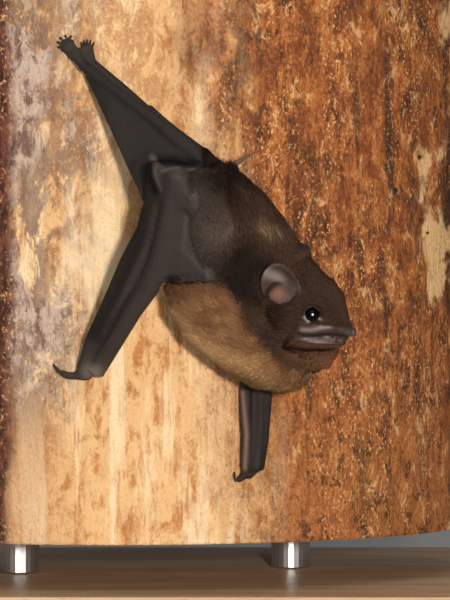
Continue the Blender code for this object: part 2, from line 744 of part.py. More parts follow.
LEGS = (
    ("right", THIGH_RIGHT, SHANK_RIGHT, FOOT_RIGHT, TOES_RIGHT),
    ("left", THIGH_LEFT, SHANK_LEFT, FOOT_LEFT, TOES_LEFT),
)
for side_name, thigh, shank, sole, toes in LEGS:
    thigh_piece = limb_and_clearance(f"thigh_{side_name}", thigh, BACK_FUR)
    shank_piece = limb_and_clearance(f"shank_{side_name}", shank, WING_SKIN, 8)
    subtract(thigh_piece, ["trunk"])
    subtract(shank_piece, [f"thigh_{side_name}"])
    foot(f"foot_{side_name}", sole, toes, FOOT_SKIN, HORN, f"shank_{side_name}")
tail_piece = limb_and_clearance("tail", TAIL, FOOT_SKIN, 8)
subtract(tail_piece, ["trunk", "thigh_right"])

SHEETS = (
    ("flank_sheet_right", FLANK_SHEET_RIGHT, ("trunk", "upper_arm_right", "forearm_right", "hand_right")),
    ("arm_sheet_right", ARM_SHEET_RIGHT, ("trunk", "upper_arm_right", "forearm_right", "flank_sheet_right")),
    (
        "leg_sheet_right", LEG_SHEET_RIGHT,
        ("trunk", "hand_right", "thigh_right", "shank_right", "forearm_right", "flank_sheet_right"),
    ),
    ("fold_sheet_right", FOLD_SHEET_RIGHT, ("hand_right", "forearm_right", "leg_sheet_right", "arm_sheet_right")),
    ("leg_sheet_left", LEG_SHEET_LEFT, ("trunk", "hand_left", "thigh_left", "shank_left", "forearm_left")),
    ("arm_sheet_left", ARM_SHEET_LEFT, ("trunk", "upper_arm_left", "forearm_left", "hand_left")),
    ("tail_sheet", TAIL_SHEET, ("trunk", "tail", "thigh_right", "thigh_left", "shank_right", "shank_left")),
)
for sheet_name, table, neighbours in SHEETS:
    skin_sheet(cutter_name(sheet_name), table, None, GAP)
    piece = skin_sheet(sheet_name, table, WING_SKIN)
    subtract(piece, neighbours)

oval_log("perch_log", BARK)
stand_base("stand_base", STAND_BEECH)
for place, (rod_x, rod_y) in enumerate(ROD_PLACES):
    rod(f"stand_rod_{place + 1}", rod_x, rod_y, ROD_STEEL)

PARENTS = (
    ("neck", "trunk"), ("head", "neck"), ("lower_jaw", "head"), ("ear_right", "head"),
    ("ear_left", "head"), ("eye_right", "head"), ("eye_left", "head"), ("tail", "trunk"),
    ("perch_log", "stand_base"), ("trunk", "perch_log"),
)
for child_name, parent_name in PARENTS:
    attach(child_name, parent_name)
for side_name in ("right", "left"):
    attach(f"upper_arm_{side_name}", "trunk")
    attach(f"forearm_{side_name}", f"upper_arm_{side_name}")
    attach(f"hand_{side_name}", f"forearm_{side_name}")
    attach(f"thumb_{side_name}", f"forearm_{side_name}")
    attach(f"thumb_claw_{side_name}", f"thumb_{side_name}")
    attach(f"thigh_{side_name}", "trunk")
    attach(f"shank_{side_name}", f"thigh_{side_name}")
    attach(f"foot_{side_name}", f"shank_{side_name}")
    for number in range(1, 6):
        attach(f"foot_{side_name}_claw_{number}", f"foot_{side_name}")
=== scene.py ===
import math

import bmesh
import bpy
import numpy as np
from mathutils import Matrix, Vector, kdtree
from mathutils.bvhtree import BVHTree


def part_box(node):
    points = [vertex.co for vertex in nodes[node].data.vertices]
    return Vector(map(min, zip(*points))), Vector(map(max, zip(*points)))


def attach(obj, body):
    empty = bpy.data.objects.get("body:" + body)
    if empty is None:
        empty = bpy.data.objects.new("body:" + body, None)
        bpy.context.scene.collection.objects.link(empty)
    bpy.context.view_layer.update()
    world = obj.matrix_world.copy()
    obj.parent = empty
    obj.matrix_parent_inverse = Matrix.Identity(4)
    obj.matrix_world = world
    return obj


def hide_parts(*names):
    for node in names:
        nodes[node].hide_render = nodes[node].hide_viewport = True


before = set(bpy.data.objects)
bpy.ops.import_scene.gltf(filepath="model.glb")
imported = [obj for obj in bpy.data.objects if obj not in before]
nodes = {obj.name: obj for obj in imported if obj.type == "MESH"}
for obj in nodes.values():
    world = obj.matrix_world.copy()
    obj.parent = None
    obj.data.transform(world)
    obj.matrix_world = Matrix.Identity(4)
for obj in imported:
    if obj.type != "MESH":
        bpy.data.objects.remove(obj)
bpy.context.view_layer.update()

scene = bpy.context.scene
mm = 0.001

# camera
view = {
    "place": (0.0122, -0.512, 0.054), "tilt": math.radians(90), "lens": 172.8, "sensor": 36, "nearest": 0.01,
}
camera = bpy.data.objects.new("camera", bpy.data.cameras.new("camera"))
camera.location = view["place"]
camera.rotation_euler = (view["tilt"], 0, 0)
camera.data.lens = view["lens"]
camera.data.sensor_width = view["sensor"]
camera.data.clip_start = view["nearest"]
scene.collection.objects.link(camera)
scene.camera = camera
scene.view_settings.view_transform = "Standard"

# light: a fairly small key from the upper right by the camera, and a pale room
light = {
    "target": (0.015, -0.05, 0.06),
    "keyPlace": (0.062, -0.52, 0.070), "keySize": 0.022, "keyPower": 2.32, "keyColor": (1.0, 0.97, 0.93),
    "topPlace": (0.0, -0.30, 0.50), "topSize": 0.4, "topPower": 0.62, "topColor": (1.0, 0.98, 0.95),
    "fillPlace": (-0.30, -0.55, 0.35), "fillSize": 0.5, "fillPower": 0.5, "fillColor": (0.95, 0.97, 1.0),
    "roomColor": (0.93, 0.95, 1.0), "roomStrength": 0.105,
}


def addLight(name):
    place = Vector(light[name + "Place"])
    lamp = bpy.data.lights.new(name + "Light", "AREA")
    lamp.size = light[name + "Size"]
    lamp.energy = light[name + "Power"]
    lamp.color = light[name + "Color"]
    obj = bpy.data.objects.new(name + "Light", lamp)
    obj.location = place
    obj.rotation_euler = (Vector(light["target"]) - place).to_track_quat("-Z", "Y").to_euler()
    scene.collection.objects.link(obj)


for name in ("key", "top", "fill"):
    addLight(name)
world = bpy.data.worlds.new("room")
world.use_nodes = True
world.node_tree.nodes["Background"].inputs["Color"].default_value = (*light["roomColor"], 1)
world.node_tree.nodes["Background"].inputs["Strength"].default_value = light["roomStrength"]
scene.world = world
print("camera and lights set")


# adds a node with its inputs in their order or by name, and gives its first output
def addNode(tree, kind, settings, *values, **named):
    node = tree.nodes.new(kind)
    for key, value in settings.items():
        setattr(node, key, value)
    sockets = [s for s in node.inputs if s.enabled]
    for socket, value in [*zip(sockets, values), *((s, named[s.name]) for s in sockets if s.name in named)]:
        if isinstance(value, bpy.types.NodeSocket):
            tree.links.new(value, socket)
        elif socket.type == "RGBA" and len(value) == 3:
            socket.default_value = (*value, 1)
        else:
            socket.default_value = value
    return next((s for s in node.outputs if s.enabled), None)


# one material and short calls for the nodes that it uses
class Nodes:
    def __init__(self, name):
        self.material = bpy.data.materials.new(name)
        self.material.use_nodes = True
        self.tree = self.material.node_tree

    def add(self, kind, settings, *values, **named):
        return addNode(self.tree, kind, settings, *values, **named)

    def place(self):
        return self.add("ShaderNodeTexCoord", {}).node.outputs["Object"]

    def stretch(self, vector, scale):
        return self.add("ShaderNodeMapping", {}, Vector=vector, Scale=scale)

    def noise(self, vector, scale, detail=3.0, rough=0.55, distortion=0.0):
        return self.add("ShaderNodeTexNoise", {}, Vector=vector, Scale=scale, Detail=detail, Roughness=rough,
                        Distortion=distortion)

    # noise that is drawn out along Z where flow is under 1
    def streaks(self, place, flow, *noise):
        return self.noise(self.stretch(place, (1.0, 1.0, flow)), *noise)

    def ramp(self, factor, low, high):
        return self.add("ShaderNodeMapRange", {"interpolation_type": "SMOOTHSTEP"}, factor, low, high)

    def mix(self, factor, a, b, blend="MIX"):
        return self.add("ShaderNodeMix", {"data_type": "RGBA", "blend_type": blend}, factor, a, b)

    def math(self, kind, a, b=0.0):
        return self.add("ShaderNodeMath", {"operation": kind}, a, b)

    def times(self, a, b):
        return self.math("MULTIPLY", a, b)

    def plus(self, a, b):
        return self.math("ADD", a, b)

    def minus(self, a, b):
        return self.math("SUBTRACT", a, b)

    def fall(self, value, low, high):
        return self.minus(1.0, self.ramp(value, low, high))

    def bump(self, height, distance, strength):
        return self.add("ShaderNodeBump", {}, Height=height, Distance=distance, Strength=strength)

    def attribute(self, name, output="Color"):
        return self.add("ShaderNodeAttribute", {"attribute_name": name}).node.outputs[output]

    def finish(self, **values):
        shader = self.tree.nodes["Principled BSDF"]
        for key, value in values.items():
            socket = shader.inputs[key.replace("_", " ")]
            if isinstance(value, bpy.types.NodeSocket):
                self.tree.links.new(value, socket)
            else:
                socket.default_value = (*value, 1) if socket.type == "RGBA" else value
        return self.material


# points and triangles of a mesh as arrays
def readMesh(mesh):
    mesh.calc_loop_triangles()
    points = np.empty(len(mesh.vertices) * 3)
    mesh.vertices.foreach_get("co", points)
    corners = np.empty(len(mesh.loop_triangles) * 3, np.int32)
    mesh.loop_triangles.foreach_get("vertices", corners)
    return points.reshape(-1, 3), corners.reshape(-1, 3)


def pointNormals(points, triangles):
    a, b, c = (points[triangles[:, k]] for k in range(3))
    face = np.cross(b - a, c - a)
    total = np.zeros_like(points)
    for k in range(3):
        for axis in range(3):
            total[:, axis] += np.bincount(triangles[:, k], face[:, axis], len(points))
    return total / np.maximum(lengths(total), 1e-12)


def lengths(rows):
    return np.linalg.norm(rows, axis=1, keepdims=True)


def edgeList(triangles):
    pairs = np.vstack([triangles[:, [0, 1]], triangles[:, [1, 2]], triangles[:, [2, 0]]])
    pairs.sort(axis=1)
    return np.unique(pairs, axis=0)


# averages values over a mesh's neighbours
class Smoother:
    def __init__(self, count, edges):
        self.a = np.concatenate([edges[:, 0], edges[:, 1]])
        self.b = np.concatenate([edges[:, 1], edges[:, 0]])
        self.count = count
        self.degree = np.maximum(np.bincount(self.a, minlength=count), 1)

    def mean(self, values):
        if values.ndim == 1:
            return np.bincount(self.a, values[self.b], self.count) / self.degree
        return np.stack([self.mean(values[:, k]) for k in range(values.shape[1])], axis=1)

    def relax(self, values, times, share=0.5):
        for _ in range(times):
            values = values + (self.mean(values) - values) * share
        return values

    def taubin(self, points, times, amount=0.6):
        for _ in range(times):
            points = points + (self.mean(points) - points) * amount
            points = points - (self.mean(points) - points) * (amount * 1.04)
        return points


def rise(value, low, high):
    t = np.clip((value - low) / (high - low), 0, 1)
    return t * t * (3 - 2 * t)


def fall(value, low, high):
    return 1 - rise(value, low, high)


def showMesh(name, mesh):
    obj = bpy.data.objects.new(name, mesh)
    scene.collection.objects.link(obj)
    return obj


def makePiece(name, points, faces, material):
    mesh = bpy.data.meshes.new(name)
    mesh.from_pydata(points.tolist() if hasattr(points, "tolist") else points, [], faces)
    mesh.materials.append(material)
    mesh.update()
    return showMesh(name, mesh)


# opens a mesh for changes, with the corners that lie on one another joined if weld is set
def openMesh(mesh, weld=False):
    built = bmesh.new()
    built.from_mesh(mesh)
    if weld:
        bmesh.ops.remove_doubles(built, verts=built.verts, dist=2e-6)
    return built


# puts the changes into a mesh, or into a new one of that name
def closeMesh(built, mesh):
    if isinstance(mesh, str):
        mesh = bpy.data.meshes.new(mesh)
    built.to_mesh(mesh)
    built.free()
    return mesh


# the mesh that an object's modifiers give, after which the object is taken away
def takeResult(obj):
    made = bpy.data.meshes.new_from_object(obj.evaluated_get(bpy.context.evaluated_depsgraph_get()))
    bpy.data.objects.remove(obj)
    return made


def smoothShade(mesh):
    mesh.polygons.foreach_set("use_smooth", [True] * len(mesh.polygons))


def setPointData(mesh, name, values):
    kind = "FLOAT" if values.ndim == 1 else ("FLOAT_VECTOR" if values.shape[1] == 3 else "FLOAT_COLOR")
    field = mesh.attributes.get(name) or mesh.attributes.new(name, kind, "POINT")
    key = {"FLOAT": "value", "FLOAT_VECTOR": "vector", "FLOAT_COLOR": "color"}[kind]
    field.data.foreach_set(key, np.ascontiguousarray(values, np.float32).ravel())


# the frames of trunk and head, in millimetres
bodyFrames = {
    "trunk": ((4.3, -58.4, 67.9), (0.652, 0.051, -0.757), (0.71, -0.35, 0.61)),
    "head": ((32.6, -60.9, 48.8), (0.844, -0.201, -0.497), (0.485, -0.15, 0.875)),
}


def unit(vector):
    vector = np.array(vector, float)
    return vector / np.linalg.norm(vector)


def axes(start, forward, up):
    forward = np.array(forward) / np.linalg.norm(forward)
    side = np.cross(forward, up)
    side /= np.linalg.norm(side)
    return np.array(start), forward, side, np.cross(side, forward)


trunkStart, trunkForward, trunkSide, trunkLift = axes(*bodyFrames["trunk"])
noseTip, headForward, headSide, headLift = axes(*bodyFrames["head"])


# distance forward, height to the back and distance to the right, in millimetres
def onTrunk(points):
    r = points / mm - trunkStart
    return r @ trunkForward, r @ trunkLift, r @ trunkSide


# distance back from the nose, height and distance to the right, in millimetres
def onHead(points):
    r = points / mm - noseTip
    return -(r @ headForward), r @ headLift, r @ headSide


def headPoint(back, up, out):
    return (noseTip - headForward * back + headLift * up + headSide * out) * mm


# skin: all pieces of flesh are grown a little, joined and shrunk back; lengths in millimetres
skin = {
    "bridge": 0.2, "armBridge": 0.6, "voxel": 0.27, "smoothing": 10, "finerWithin": 8.3, "triangles": 196000,
    "headHalfWidth": 13.5, "headLow": -6.5, "headHigh": 8.0, "feetAbove": 88.0,
    "faceKeep": 0.05, "faceEnd": (9, 12), "feetKeep": 0.02,
    "limbRough": 0.62, "bareRough": 0.34, "specular": 0.12,
}
wingNodes = ("forearm_right", "hand_right", "upper_arm_right", "arm_sheet_right", "flank_sheet_right")
fleshNodes = [n for n in nodes if not n.startswith(("stand_", "perch", "eye")) and "claw" not in n]


# how far a piece is grown at each point before all are joined, in millimetres
def bridgeAt(node, points):
    if node.startswith(wingNodes):
        return np.full(len(points), skin["armBridge"])
    if "foot" in node:
        return skin["bridge"] * (1.1 - rise(points[:, 2] / mm, 90.0, 92.0))
    return np.full(len(points), skin["bridge"])


def grownPiece(node):
    built = openMesh(nodes[node].data, weld=True)
    bmesh.ops.triangulate(built, faces=built.faces)
    built.normal_update()
    plain = np.array([v.co for v in built.verts])
    ways = np.array([v.normal * min(v.calc_shell_factor(), 1.5) for v in built.verts])
    faces = np.array([[v.index for v in f.verts] for f in built.faces])
    built.free()
    return plain + ways * (bridgeAt(node, plain) * mm)[:, None], plain, faces


# splits the faces of the head that lie within reach millimetres of the nose
def refineHead(mesh, reach):
    built = openMesh(mesh)
    built.faces.ensure_lookup_table()
    centres = np.array([f.calc_center_median() for f in built.faces])
    back, up, out = onHead(centres)
    inside = (back < reach) & (back > -1.5) & (np.abs(out) < skin["headHalfWidth"])
    inside &= (up > skin["headLow"]) & (up < skin["headHigh"])
    edges = {e for k in np.flatnonzero(inside) for e in built.faces[k].edges}
    bmesh.ops.subdivide_edges(built, edges=list(edges), cuts=1, use_grid_fill=True)
    bmesh.ops.triangulate(built, faces=[f for f in built.faces if len(f.verts) > 4])
    closeMesh(built, mesh)


# takes triangles out where the skin is flat, and none on face and feet
def thinOut(mesh, wanted):
    points, triangles = readMesh(mesh)
    work = showMesh("thinning", mesh)
    weight = skin["faceKeep"] + (1 - skin["faceKeep"]) * rise(onHead(points)[0], *skin["faceEnd"])
    weight[points[:, 2] / mm > skin["feetAbove"]] = skin["feetKeep"]
    group = work.vertex_groups.new(name="thin")
    for level in np.unique(weight.round(1)):
        chosen = np.flatnonzero(weight.round(1) == level).tolist()
        group.add(chosen, float(max(level, skin["feetKeep"])), "REPLACE")
    fewer = work.modifiers.new("fewer", "DECIMATE")
    fewer.ratio = min(1.0, wanted / len(triangles))
    fewer.vertex_group = "thin"
    fewer.vertex_group_factor = 1.0
    return takeResult(work)


def buildSkin():
    allPoints, allPlain, allFaces, owner = [], [], [], []
    offset = 0
    for k, node in enumerate(fleshNodes):
        points, plain, faces = grownPiece(node)
        allPoints.append(points)
        allPlain.append(plain)
        allFaces.append(faces + offset)
        owner += [k] * len(faces)
        offset += len(points)
    points, plain, faces = np.vstack(allPoints), np.vstack(allPlain), np.vstack(allFaces)
    tree = BVHTree.FromPolygons(plain.tolist(), faces.tolist())
    rough = makePiece("roughSkin", points, faces.tolist(), bpy.data.materials.new("rough"))
    remesh = rough.modifiers.new("remesh", "REMESH")
    remesh.mode = "VOXEL"
    remesh.voxel_size = skin["voxel"] * mm
    whole = takeResult(rough)
    points, triangles = readMesh(whole)
    smoother = Smoother(len(points), edgeList(triangles))
    points = smoother.taubin(points, skin["smoothing"])
    near = np.array([owner[tree.find_nearest(p)[2]] for p in points.tolist()])
    amount = np.zeros(len(points))
    for k, node in enumerate(fleshNodes):
        amount[near == k] = bridgeAt(node, points[near == k])
    amount = smoother.relax(amount, 8, 0.6)
    points = points - pointNormals(points, triangles) * (amount * mm)[:, None]
    points = smoother.taubin(points, 4)
    whole.vertices.foreach_set("co", points.astype(np.float32).ravel())
    refineHead(whole, skin["finerWithin"])
    print("full skin", len(points), "points")
    whole = thinOut(whole, skin["triangles"])
    points, triangles = readMesh(whole)
    smoother = Smoother(len(points), edgeList(triangles))
    points = smoother.taubin(points, 2)
    label = np.array([owner[tree.find_nearest(p)[2]] for p in points.tolist()])
    share = np.zeros((len(points), len(fleshNodes)))
    share[np.arange(len(points)), label] = 1
    share = smoother.relax(share, 4, 0.6)
    return points, triangles, smoother, {n: share[:, k] for k, n in enumerate(fleshNodes)}


skinPoints, skinTriangles, skinSmoother, skinShare = buildSkin()
print("skin", len(skinPoints), "points", len(skinTriangles), "triangles")


# how much each point of the skin belongs to the pieces whose names start so
def groupShare(*starts):
    return sum(v for n, v in skinShare.items() if n.startswith(starts))


# the same, kept between 0 and 1
def part(*starts):
    return np.clip(groupShare(*starts), 0, 1)


faceShare = part("head", "lower_jaw")


# smooth numbers between 0 and 1 that change over about 1/scale millimetres
def wave(points, scale, seed, count=5):
    p = points / mm * scale
    total = np.zeros(len(p))
    generator = np.random.default_rng(seed)
    for _ in range(count):
        direction = generator.normal(size=3)
        total += np.sin(p @ direction + generator.uniform(0, 6.3))
    return np.clip(0.5 + total / count, 0, 1)


# how furry each point is, and how deep the coat lies there
coat = {
    "trunkDepth": 1.4, "napeDepth": 0.3, "neckDepth": 0.3, "frontDepth": 1.5, "headDepth": 0.45,
    "noseDepth": 0.12, "limbDepth": 0.5, "jawDepth": 0.25,
    "length": 3.4, "limbLength": 1.7, "jawLength": 2.5, "noseLength": 0.7, "crownLonger": 1.1,
    "chestShorter": 1.0, "bustShorter": 0.8, "napeShorter": 1.7,
    "liftMost": 1.2, "liftLeast": 0.1, "napeLift": 0.35, "jawLift": 0.45,
    # x, z, reach, change of depth, and the stretch of the trunk over which it sets in
    "chestSwells": ((28.3, 40.6, 3.3, 2.6, 26, 30), (29.8, 46.0, 2.5, -2.0, 28, 31)),
    "shortSpots": ((28.2, 42.3, 1.9), (29.3, 45.6, 1.5)),
    "flankEdge": ((56.6, 57.4, 61.7, 69.3, 78), (10.7, 9.9, 5.9, 6.5, 6.2)),
    "jawEdge": ((0, 2, 4, 7, 9), (2.0, 2.9, 4.0, 4.8, 3.6)),
    "underArm": ((2.0, 58.0), (6.0, 58.5), (9.5, 58.5)), "underArmWidth": 0.9,
    "lashSpot": (6.59, -0.26, 4.6),
}


# how far each point is inside the bowl of either ear
def earBowls(points):
    return sum(cup * (height > 1) for cup, height in (earCup(points, m) for m in (False, True)))


def coatFields(points):
    back, up, out = onHead(points)
    along, height, _ = onTrunk(points)
    x, _, z = (points / mm).T
    headFur = rise(up - (0.55 - 0.37 * back), -0.3, 0.5)
    headFur = np.maximum(headFur, rise(back, 7.2, 8.2))
    headFur *= rise(back, 0.6, 1.6)
    edge = np.interp(z, *coat["flankEdge"])
    flank = rise(x - edge + 2.4 * (wave(points, 1.4, 5) - 0.5), -0.6, 2.8) * rise(z, 56.2, 57.2)
    armPart = groupShare("upper_arm_left") * 0.9 + groupShare("thigh") * rise(x, 7.0, 10.5)
    armPart += groupShare("upper_arm_right", "flank_sheet_right", "arm_sheet_right") * flank
    b, u, o = coat["lashSpot"]
    lash = np.sqrt((back - b) ** 2 + (up - u) ** 2 + (np.abs(out) - o) ** 2)
    headFur *= rise(lash, 1.25, 1.7)
    furred = 1 - np.clip(earBowls(points), 0, 1)
    headFur *= furred
    neckPart = groupShare("neck") * furred
    jawFur = groupShare("lower_jaw") * rise(-up - np.interp(back, *coat["jawEdge"]), -0.2, 0.5)
    trunkPart = groupShare("trunk") * (1 - stroke(x, z, coat["underArm"], coat["underArmWidth"]))
    headPart = groupShare("head") * headFur
    fur = trunkPart + neckPart + headPart + armPart + jawFur
    nape = rise(along, 12, 19) * rise(height, 4, 8)
    front = rise(along, 29, 34) * fall(height, 3, 6)
    trunkDepth = coat["trunkDepth"] + (coat["napeDepth"] - coat["trunkDepth"]) * nape
    trunkDepth = trunkDepth + (coat["frontDepth"] - trunkDepth) * front
    for spotX, spotZ, reach, change, low, high in coat["chestSwells"]:
        spot = dot(x, z, spotX, spotZ, reach)
        trunkDepth = trunkDepth + change * spot * rise(along, low, high)
    headDepth = coat["noseDepth"] + (coat["headDepth"] - coat["noseDepth"]) * rise(back, 2.5, 8)
    depth = trunkPart * trunkDepth + neckPart * coat["neckDepth"] + armPart * coat["limbDepth"]
    depth += jawFur * coat["jawDepth"]
    depth += headPart * headDepth
    return np.clip(fur, 0, 1) * furred, depth


# the face: lids, mouth, lips, folds of the bare muzzle, nostrils and the bowls of the ears
face = {
    "eye": (6.59, -0.26, 4.6), "eyeRadius": 1.05, "lidRaise": 0.22, "lidClear": 0.05,
    "mouth": ((7.3, -4.0), (6.4, -3.9), (5.5, -3.5), (4.5, -2.9), (3.1, -2.1), (1.7, -1.35), (0.5, -1.0),
              (-0.5, -0.8)),
    "mouthDepth": 0.22, "lipSwell": 0.05, "mouthWidth": 0.2,
    "lipRidge": ((6.9, -3.2), (5.7, -2.6), (4.7, -1.7), (3.5, -0.7)), "ridgeHeight": 0.28, "ridgeWidth": 0.42,
    # the course of the painted highlight on the lower lip
    "lowerLipHighlight": ((5.2, -4.3), (4.1, -3.75), (3.2, -3.15), (2.4, -2.6)),
    # spots of painted highlight on the lids
    "lidHighlightSpots": ((7.3, -1.25, 4.3, 0.36), (6.7, -1.5, 4.3, 0.26), (5.3, -0.3, 4.6, 0.22)),
    "fold": ((6.2, -1.6), (4.9, -0.8), (3.6, -0.1), (2.4, 0.1)), "foldDepth": 0.15,
    "nostril": (0.35, 0.0, 0.95), "nostrilSize": 0.3, "nostrilDepth": 0.45, "nostrilRim": 0.12,
    "earBottom": (12.35, 0.58, 2.0), "earMiddle": (12.7, 1.65, 8.1), "earMouth": 2.9, "earBowl": 0.45,
    "earSettle": 90,
    "cornerSpot": (7.9, -4.7), "cornerReach": 2.3, "cornerSettle": 60,
    "chinCrease": ((9.6, -7.0), (6.2, -6.3), (3.0, -5.3), (1.8, -4.7)), "chinSettle": 60, "chinFill": 0.8,
    "napeSpot": (25.9, 60.4), "napeReach": 1.7, "napeFill": 0.9,
}
limbs = {
    "wingSettle": 14, "elbowSettle": 45, "tailSettle": 4, "tailThin": 0.45,
    "armCrease": ((0.9, 75.6), (1.6, 76.1), (4.5, 75.9), (9.0, 75.3)),
    "creaseWidth": 0.35, "creaseDepth": 0.25,
}


# lets the chosen points sink towards their neighbours
def settle(points, mask, times):
    for _ in range(times):
        points = points + (skinSmoother.mean(points) - points) * (mask * 0.5)[:, None]
    return points


def lineDistance(back, up, line):
    nearest = np.full(len(back), 99.0)
    for (b0, u0), (b1, u1) in zip(line, line[1:]):
        db, du = b1 - b0, u1 - u0
        t = np.clip(((back - b0) * db + (up - u0) * du) / (db * db + du * du), 0, 1)
        nearest = np.minimum(nearest, np.hypot(back - b0 - t * db, up - u0 - t * du))
    return nearest


def bell(distance, width):
    return np.exp(-((distance / width) ** 2))


# marks that fade out within about width of a line, or of a spot
def stroke(back, up, line, width):
    return bell(lineDistance(back, up, line), width)


def dot(across, up, spotAcross, spotUp, width):
    return bell(np.hypot(across - spotAcross, up - spotUp), width)


# how far each point is inside the bowl of an ear, and its height in it
def earCup(points, mirrored):
    flip = -1 if mirrored else 1
    low = headPoint(*face["earBottom"][:2], face["earBottom"][2] * flip)
    high = headPoint(*face["earMiddle"][:2], face["earMiddle"][2] * flip)
    way = unit(high - low)
    r = (points - low) / mm
    height = r @ way
    wide = np.linalg.norm(r - np.outer(height, way), axis=1)
    return 1 - rise(wide, face["earMouth"] * 0.75, face["earMouth"]), height


def tailShare():
    return np.clip(groupShare("tail") - groupShare("tail_sheet"), 0, 1)


def swell(points, mask, height):
    outward = skinSmoother.relax(pointNormals(points, skinTriangles), 10)
    return points + outward * (mask * height * mm)[:, None]


def sculptMuzzle(points):
    back, up, out = onHead(points)
    mouth = lineDistance(back, up, face["mouth"])
    lift = -face["mouthDepth"] * bell(mouth, face["mouthWidth"]) * rise(back, -0.4, 0.4)
    lift += face["lipSwell"] * bell(mouth - 0.5, 0.3) * fall(back, 6, 7.4)
    lift += face["ridgeHeight"] * stroke(back, up, face["lipRidge"], face["ridgeWidth"])
    lift -= face["foldDepth"] * stroke(back, up, face["fold"], 0.2)
    b, u, o = face["nostril"]
    for flip in (1, -1):
        far = np.sqrt((back - b) ** 2 + (up - u) ** 2 + (out - o * flip) ** 2)
        lift -= face["nostrilDepth"] * bell(far, face["nostrilSize"])
        lift += face["nostrilRim"] * bell(far - 0.55, 0.2)
    return points + pointNormals(points, skinTriangles) * (lift * faceShare * mm)[:, None]


# the lids raised and drawn round one eye, and the bowl of the ear on the same side
def sculptEyeAndEar(points, out, flip):
    b, u, o = face["eye"]
    centre = headPoint(b, u, o * flip)
    outward = unit(headSide * flip * 0.93 + headForward * 0.28 + headLift * 0.22)
    far = np.linalg.norm(points - centre, axis=1) / mm
    points = points + outward * (face["lidRaise"] * fall(far, 1.2, 2.5) * mm)[:, None]
    reach = points - centre
    far = np.linalg.norm(reach, axis=1) / mm
    clear = face["eyeRadius"] + face["lidClear"]
    hug = fall(far, 1.25, 1.75)
    wanted = np.maximum(far + (clear - far) * hug * 0.85, clear)
    near = far < 1.9
    points[near] = centre + reach[near] * (wanted[near] / far[near])[:, None]
    cup, height = earCup(points, flip < 0)
    inside = rise(cup, 0.2, 0.9) * rise(height, 0.8, 2.2) * fall(height, 6.0, 7.0)
    inside = inside * (out * flip > 0)
    points = settle(points, inside, face["earSettle"])
    return points - outward * (face["earBowl"] * inside * mm)[:, None]


def sculptChinAndNape(points):
    back, up, _ = onHead(points)
    spotBack, spotUp = face["cornerSpot"]  # where the lips end under the eye
    corner = bell(np.hypot(back - spotBack, (up - spotUp) * 0.8), face["cornerReach"])
    points = settle(points, corner * faceShare, face["cornerSettle"])
    chin = stroke(back, up, face["chinCrease"], 0.9)
    chin = chin * part("lower_jaw", "trunk", "neck", "head")
    points = swell(settle(points, chin, face["chinSettle"]), chin, face["chinFill"])
    x, _, z = (points / mm).T
    nape = dot(x, z, *face["napeSpot"], face["napeReach"])
    return swell(points, nape * part("trunk", "neck", "head"), face["napeFill"])


def sculptLimbs(points):
    limb = groupShare("upper_arm", "flank_sheet", "arm_sheet")
    limb = limb + groupShare("forearm") * rise(points[:, 2] / mm, 64, 68)
    points = settle(points, np.clip(limb, 0, 1) * 0.8, limbs["wingSettle"])
    elbow = groupShare("forearm_right", "hand_right", "arm_sheet_right", "upper_arm_right")
    elbow = elbow * rise(points[:, 2] / mm, 67, 71)
    points = settle(points, np.clip(elbow, 0, 1), limbs["elbowSettle"])
    line = lineDistance(*(points[:, (0, 2)] / mm).T, limbs["armCrease"])
    near = part("leg_sheet", "hand_right", "forearm_right", "thigh", "arm_sheet", "upper_arm", "shank_right")
    groove = bell(line, limbs["creaseWidth"]) * near * limbs["creaseDepth"] * mm
    return settle(points + np.outer(groove, (0, 1, 0)), tailShare(), limbs["tailSettle"])


def thinTail(points):
    share = tailShare()
    reach = points - points[share > 0.5].mean(axis=0)
    way = np.linalg.svd(reach[share > 0.5], full_matrices=False)[2][0]
    sideways = reach - np.outer(reach @ way, way)
    return points - sideways * (share * limbs["tailThin"])[:, None]


def sculptSkin(points):
    out = onHead(points)[2]
    points = sculptMuzzle(points)
    for flip in (1, -1):
        points = sculptEyeAndEar(points, out, flip)
    return thinTail(sculptLimbs(sculptChinAndNape(points)))


skinPoints = sculptSkin(skinPoints)
furShare, furDepth = coatFields(skinPoints)
furDepth = skinSmoother.relax(furDepth, 6, 0.6)
furFade = skinSmoother.relax(furShare, 40, 0.6)
skinNormals = skinSmoother.relax(pointNormals(skinPoints, skinTriangles), 8, 0.6)
skinNormals /= lengths(skinNormals)
skinPoints = skinPoints - skinNormals * (furDepth * mm)[:, None]
skinPoints = settle(skinPoints, rise(furDepth, 0.25, 0.6), 10)
print("face, ears, limbs and the skin under the coat shaped")

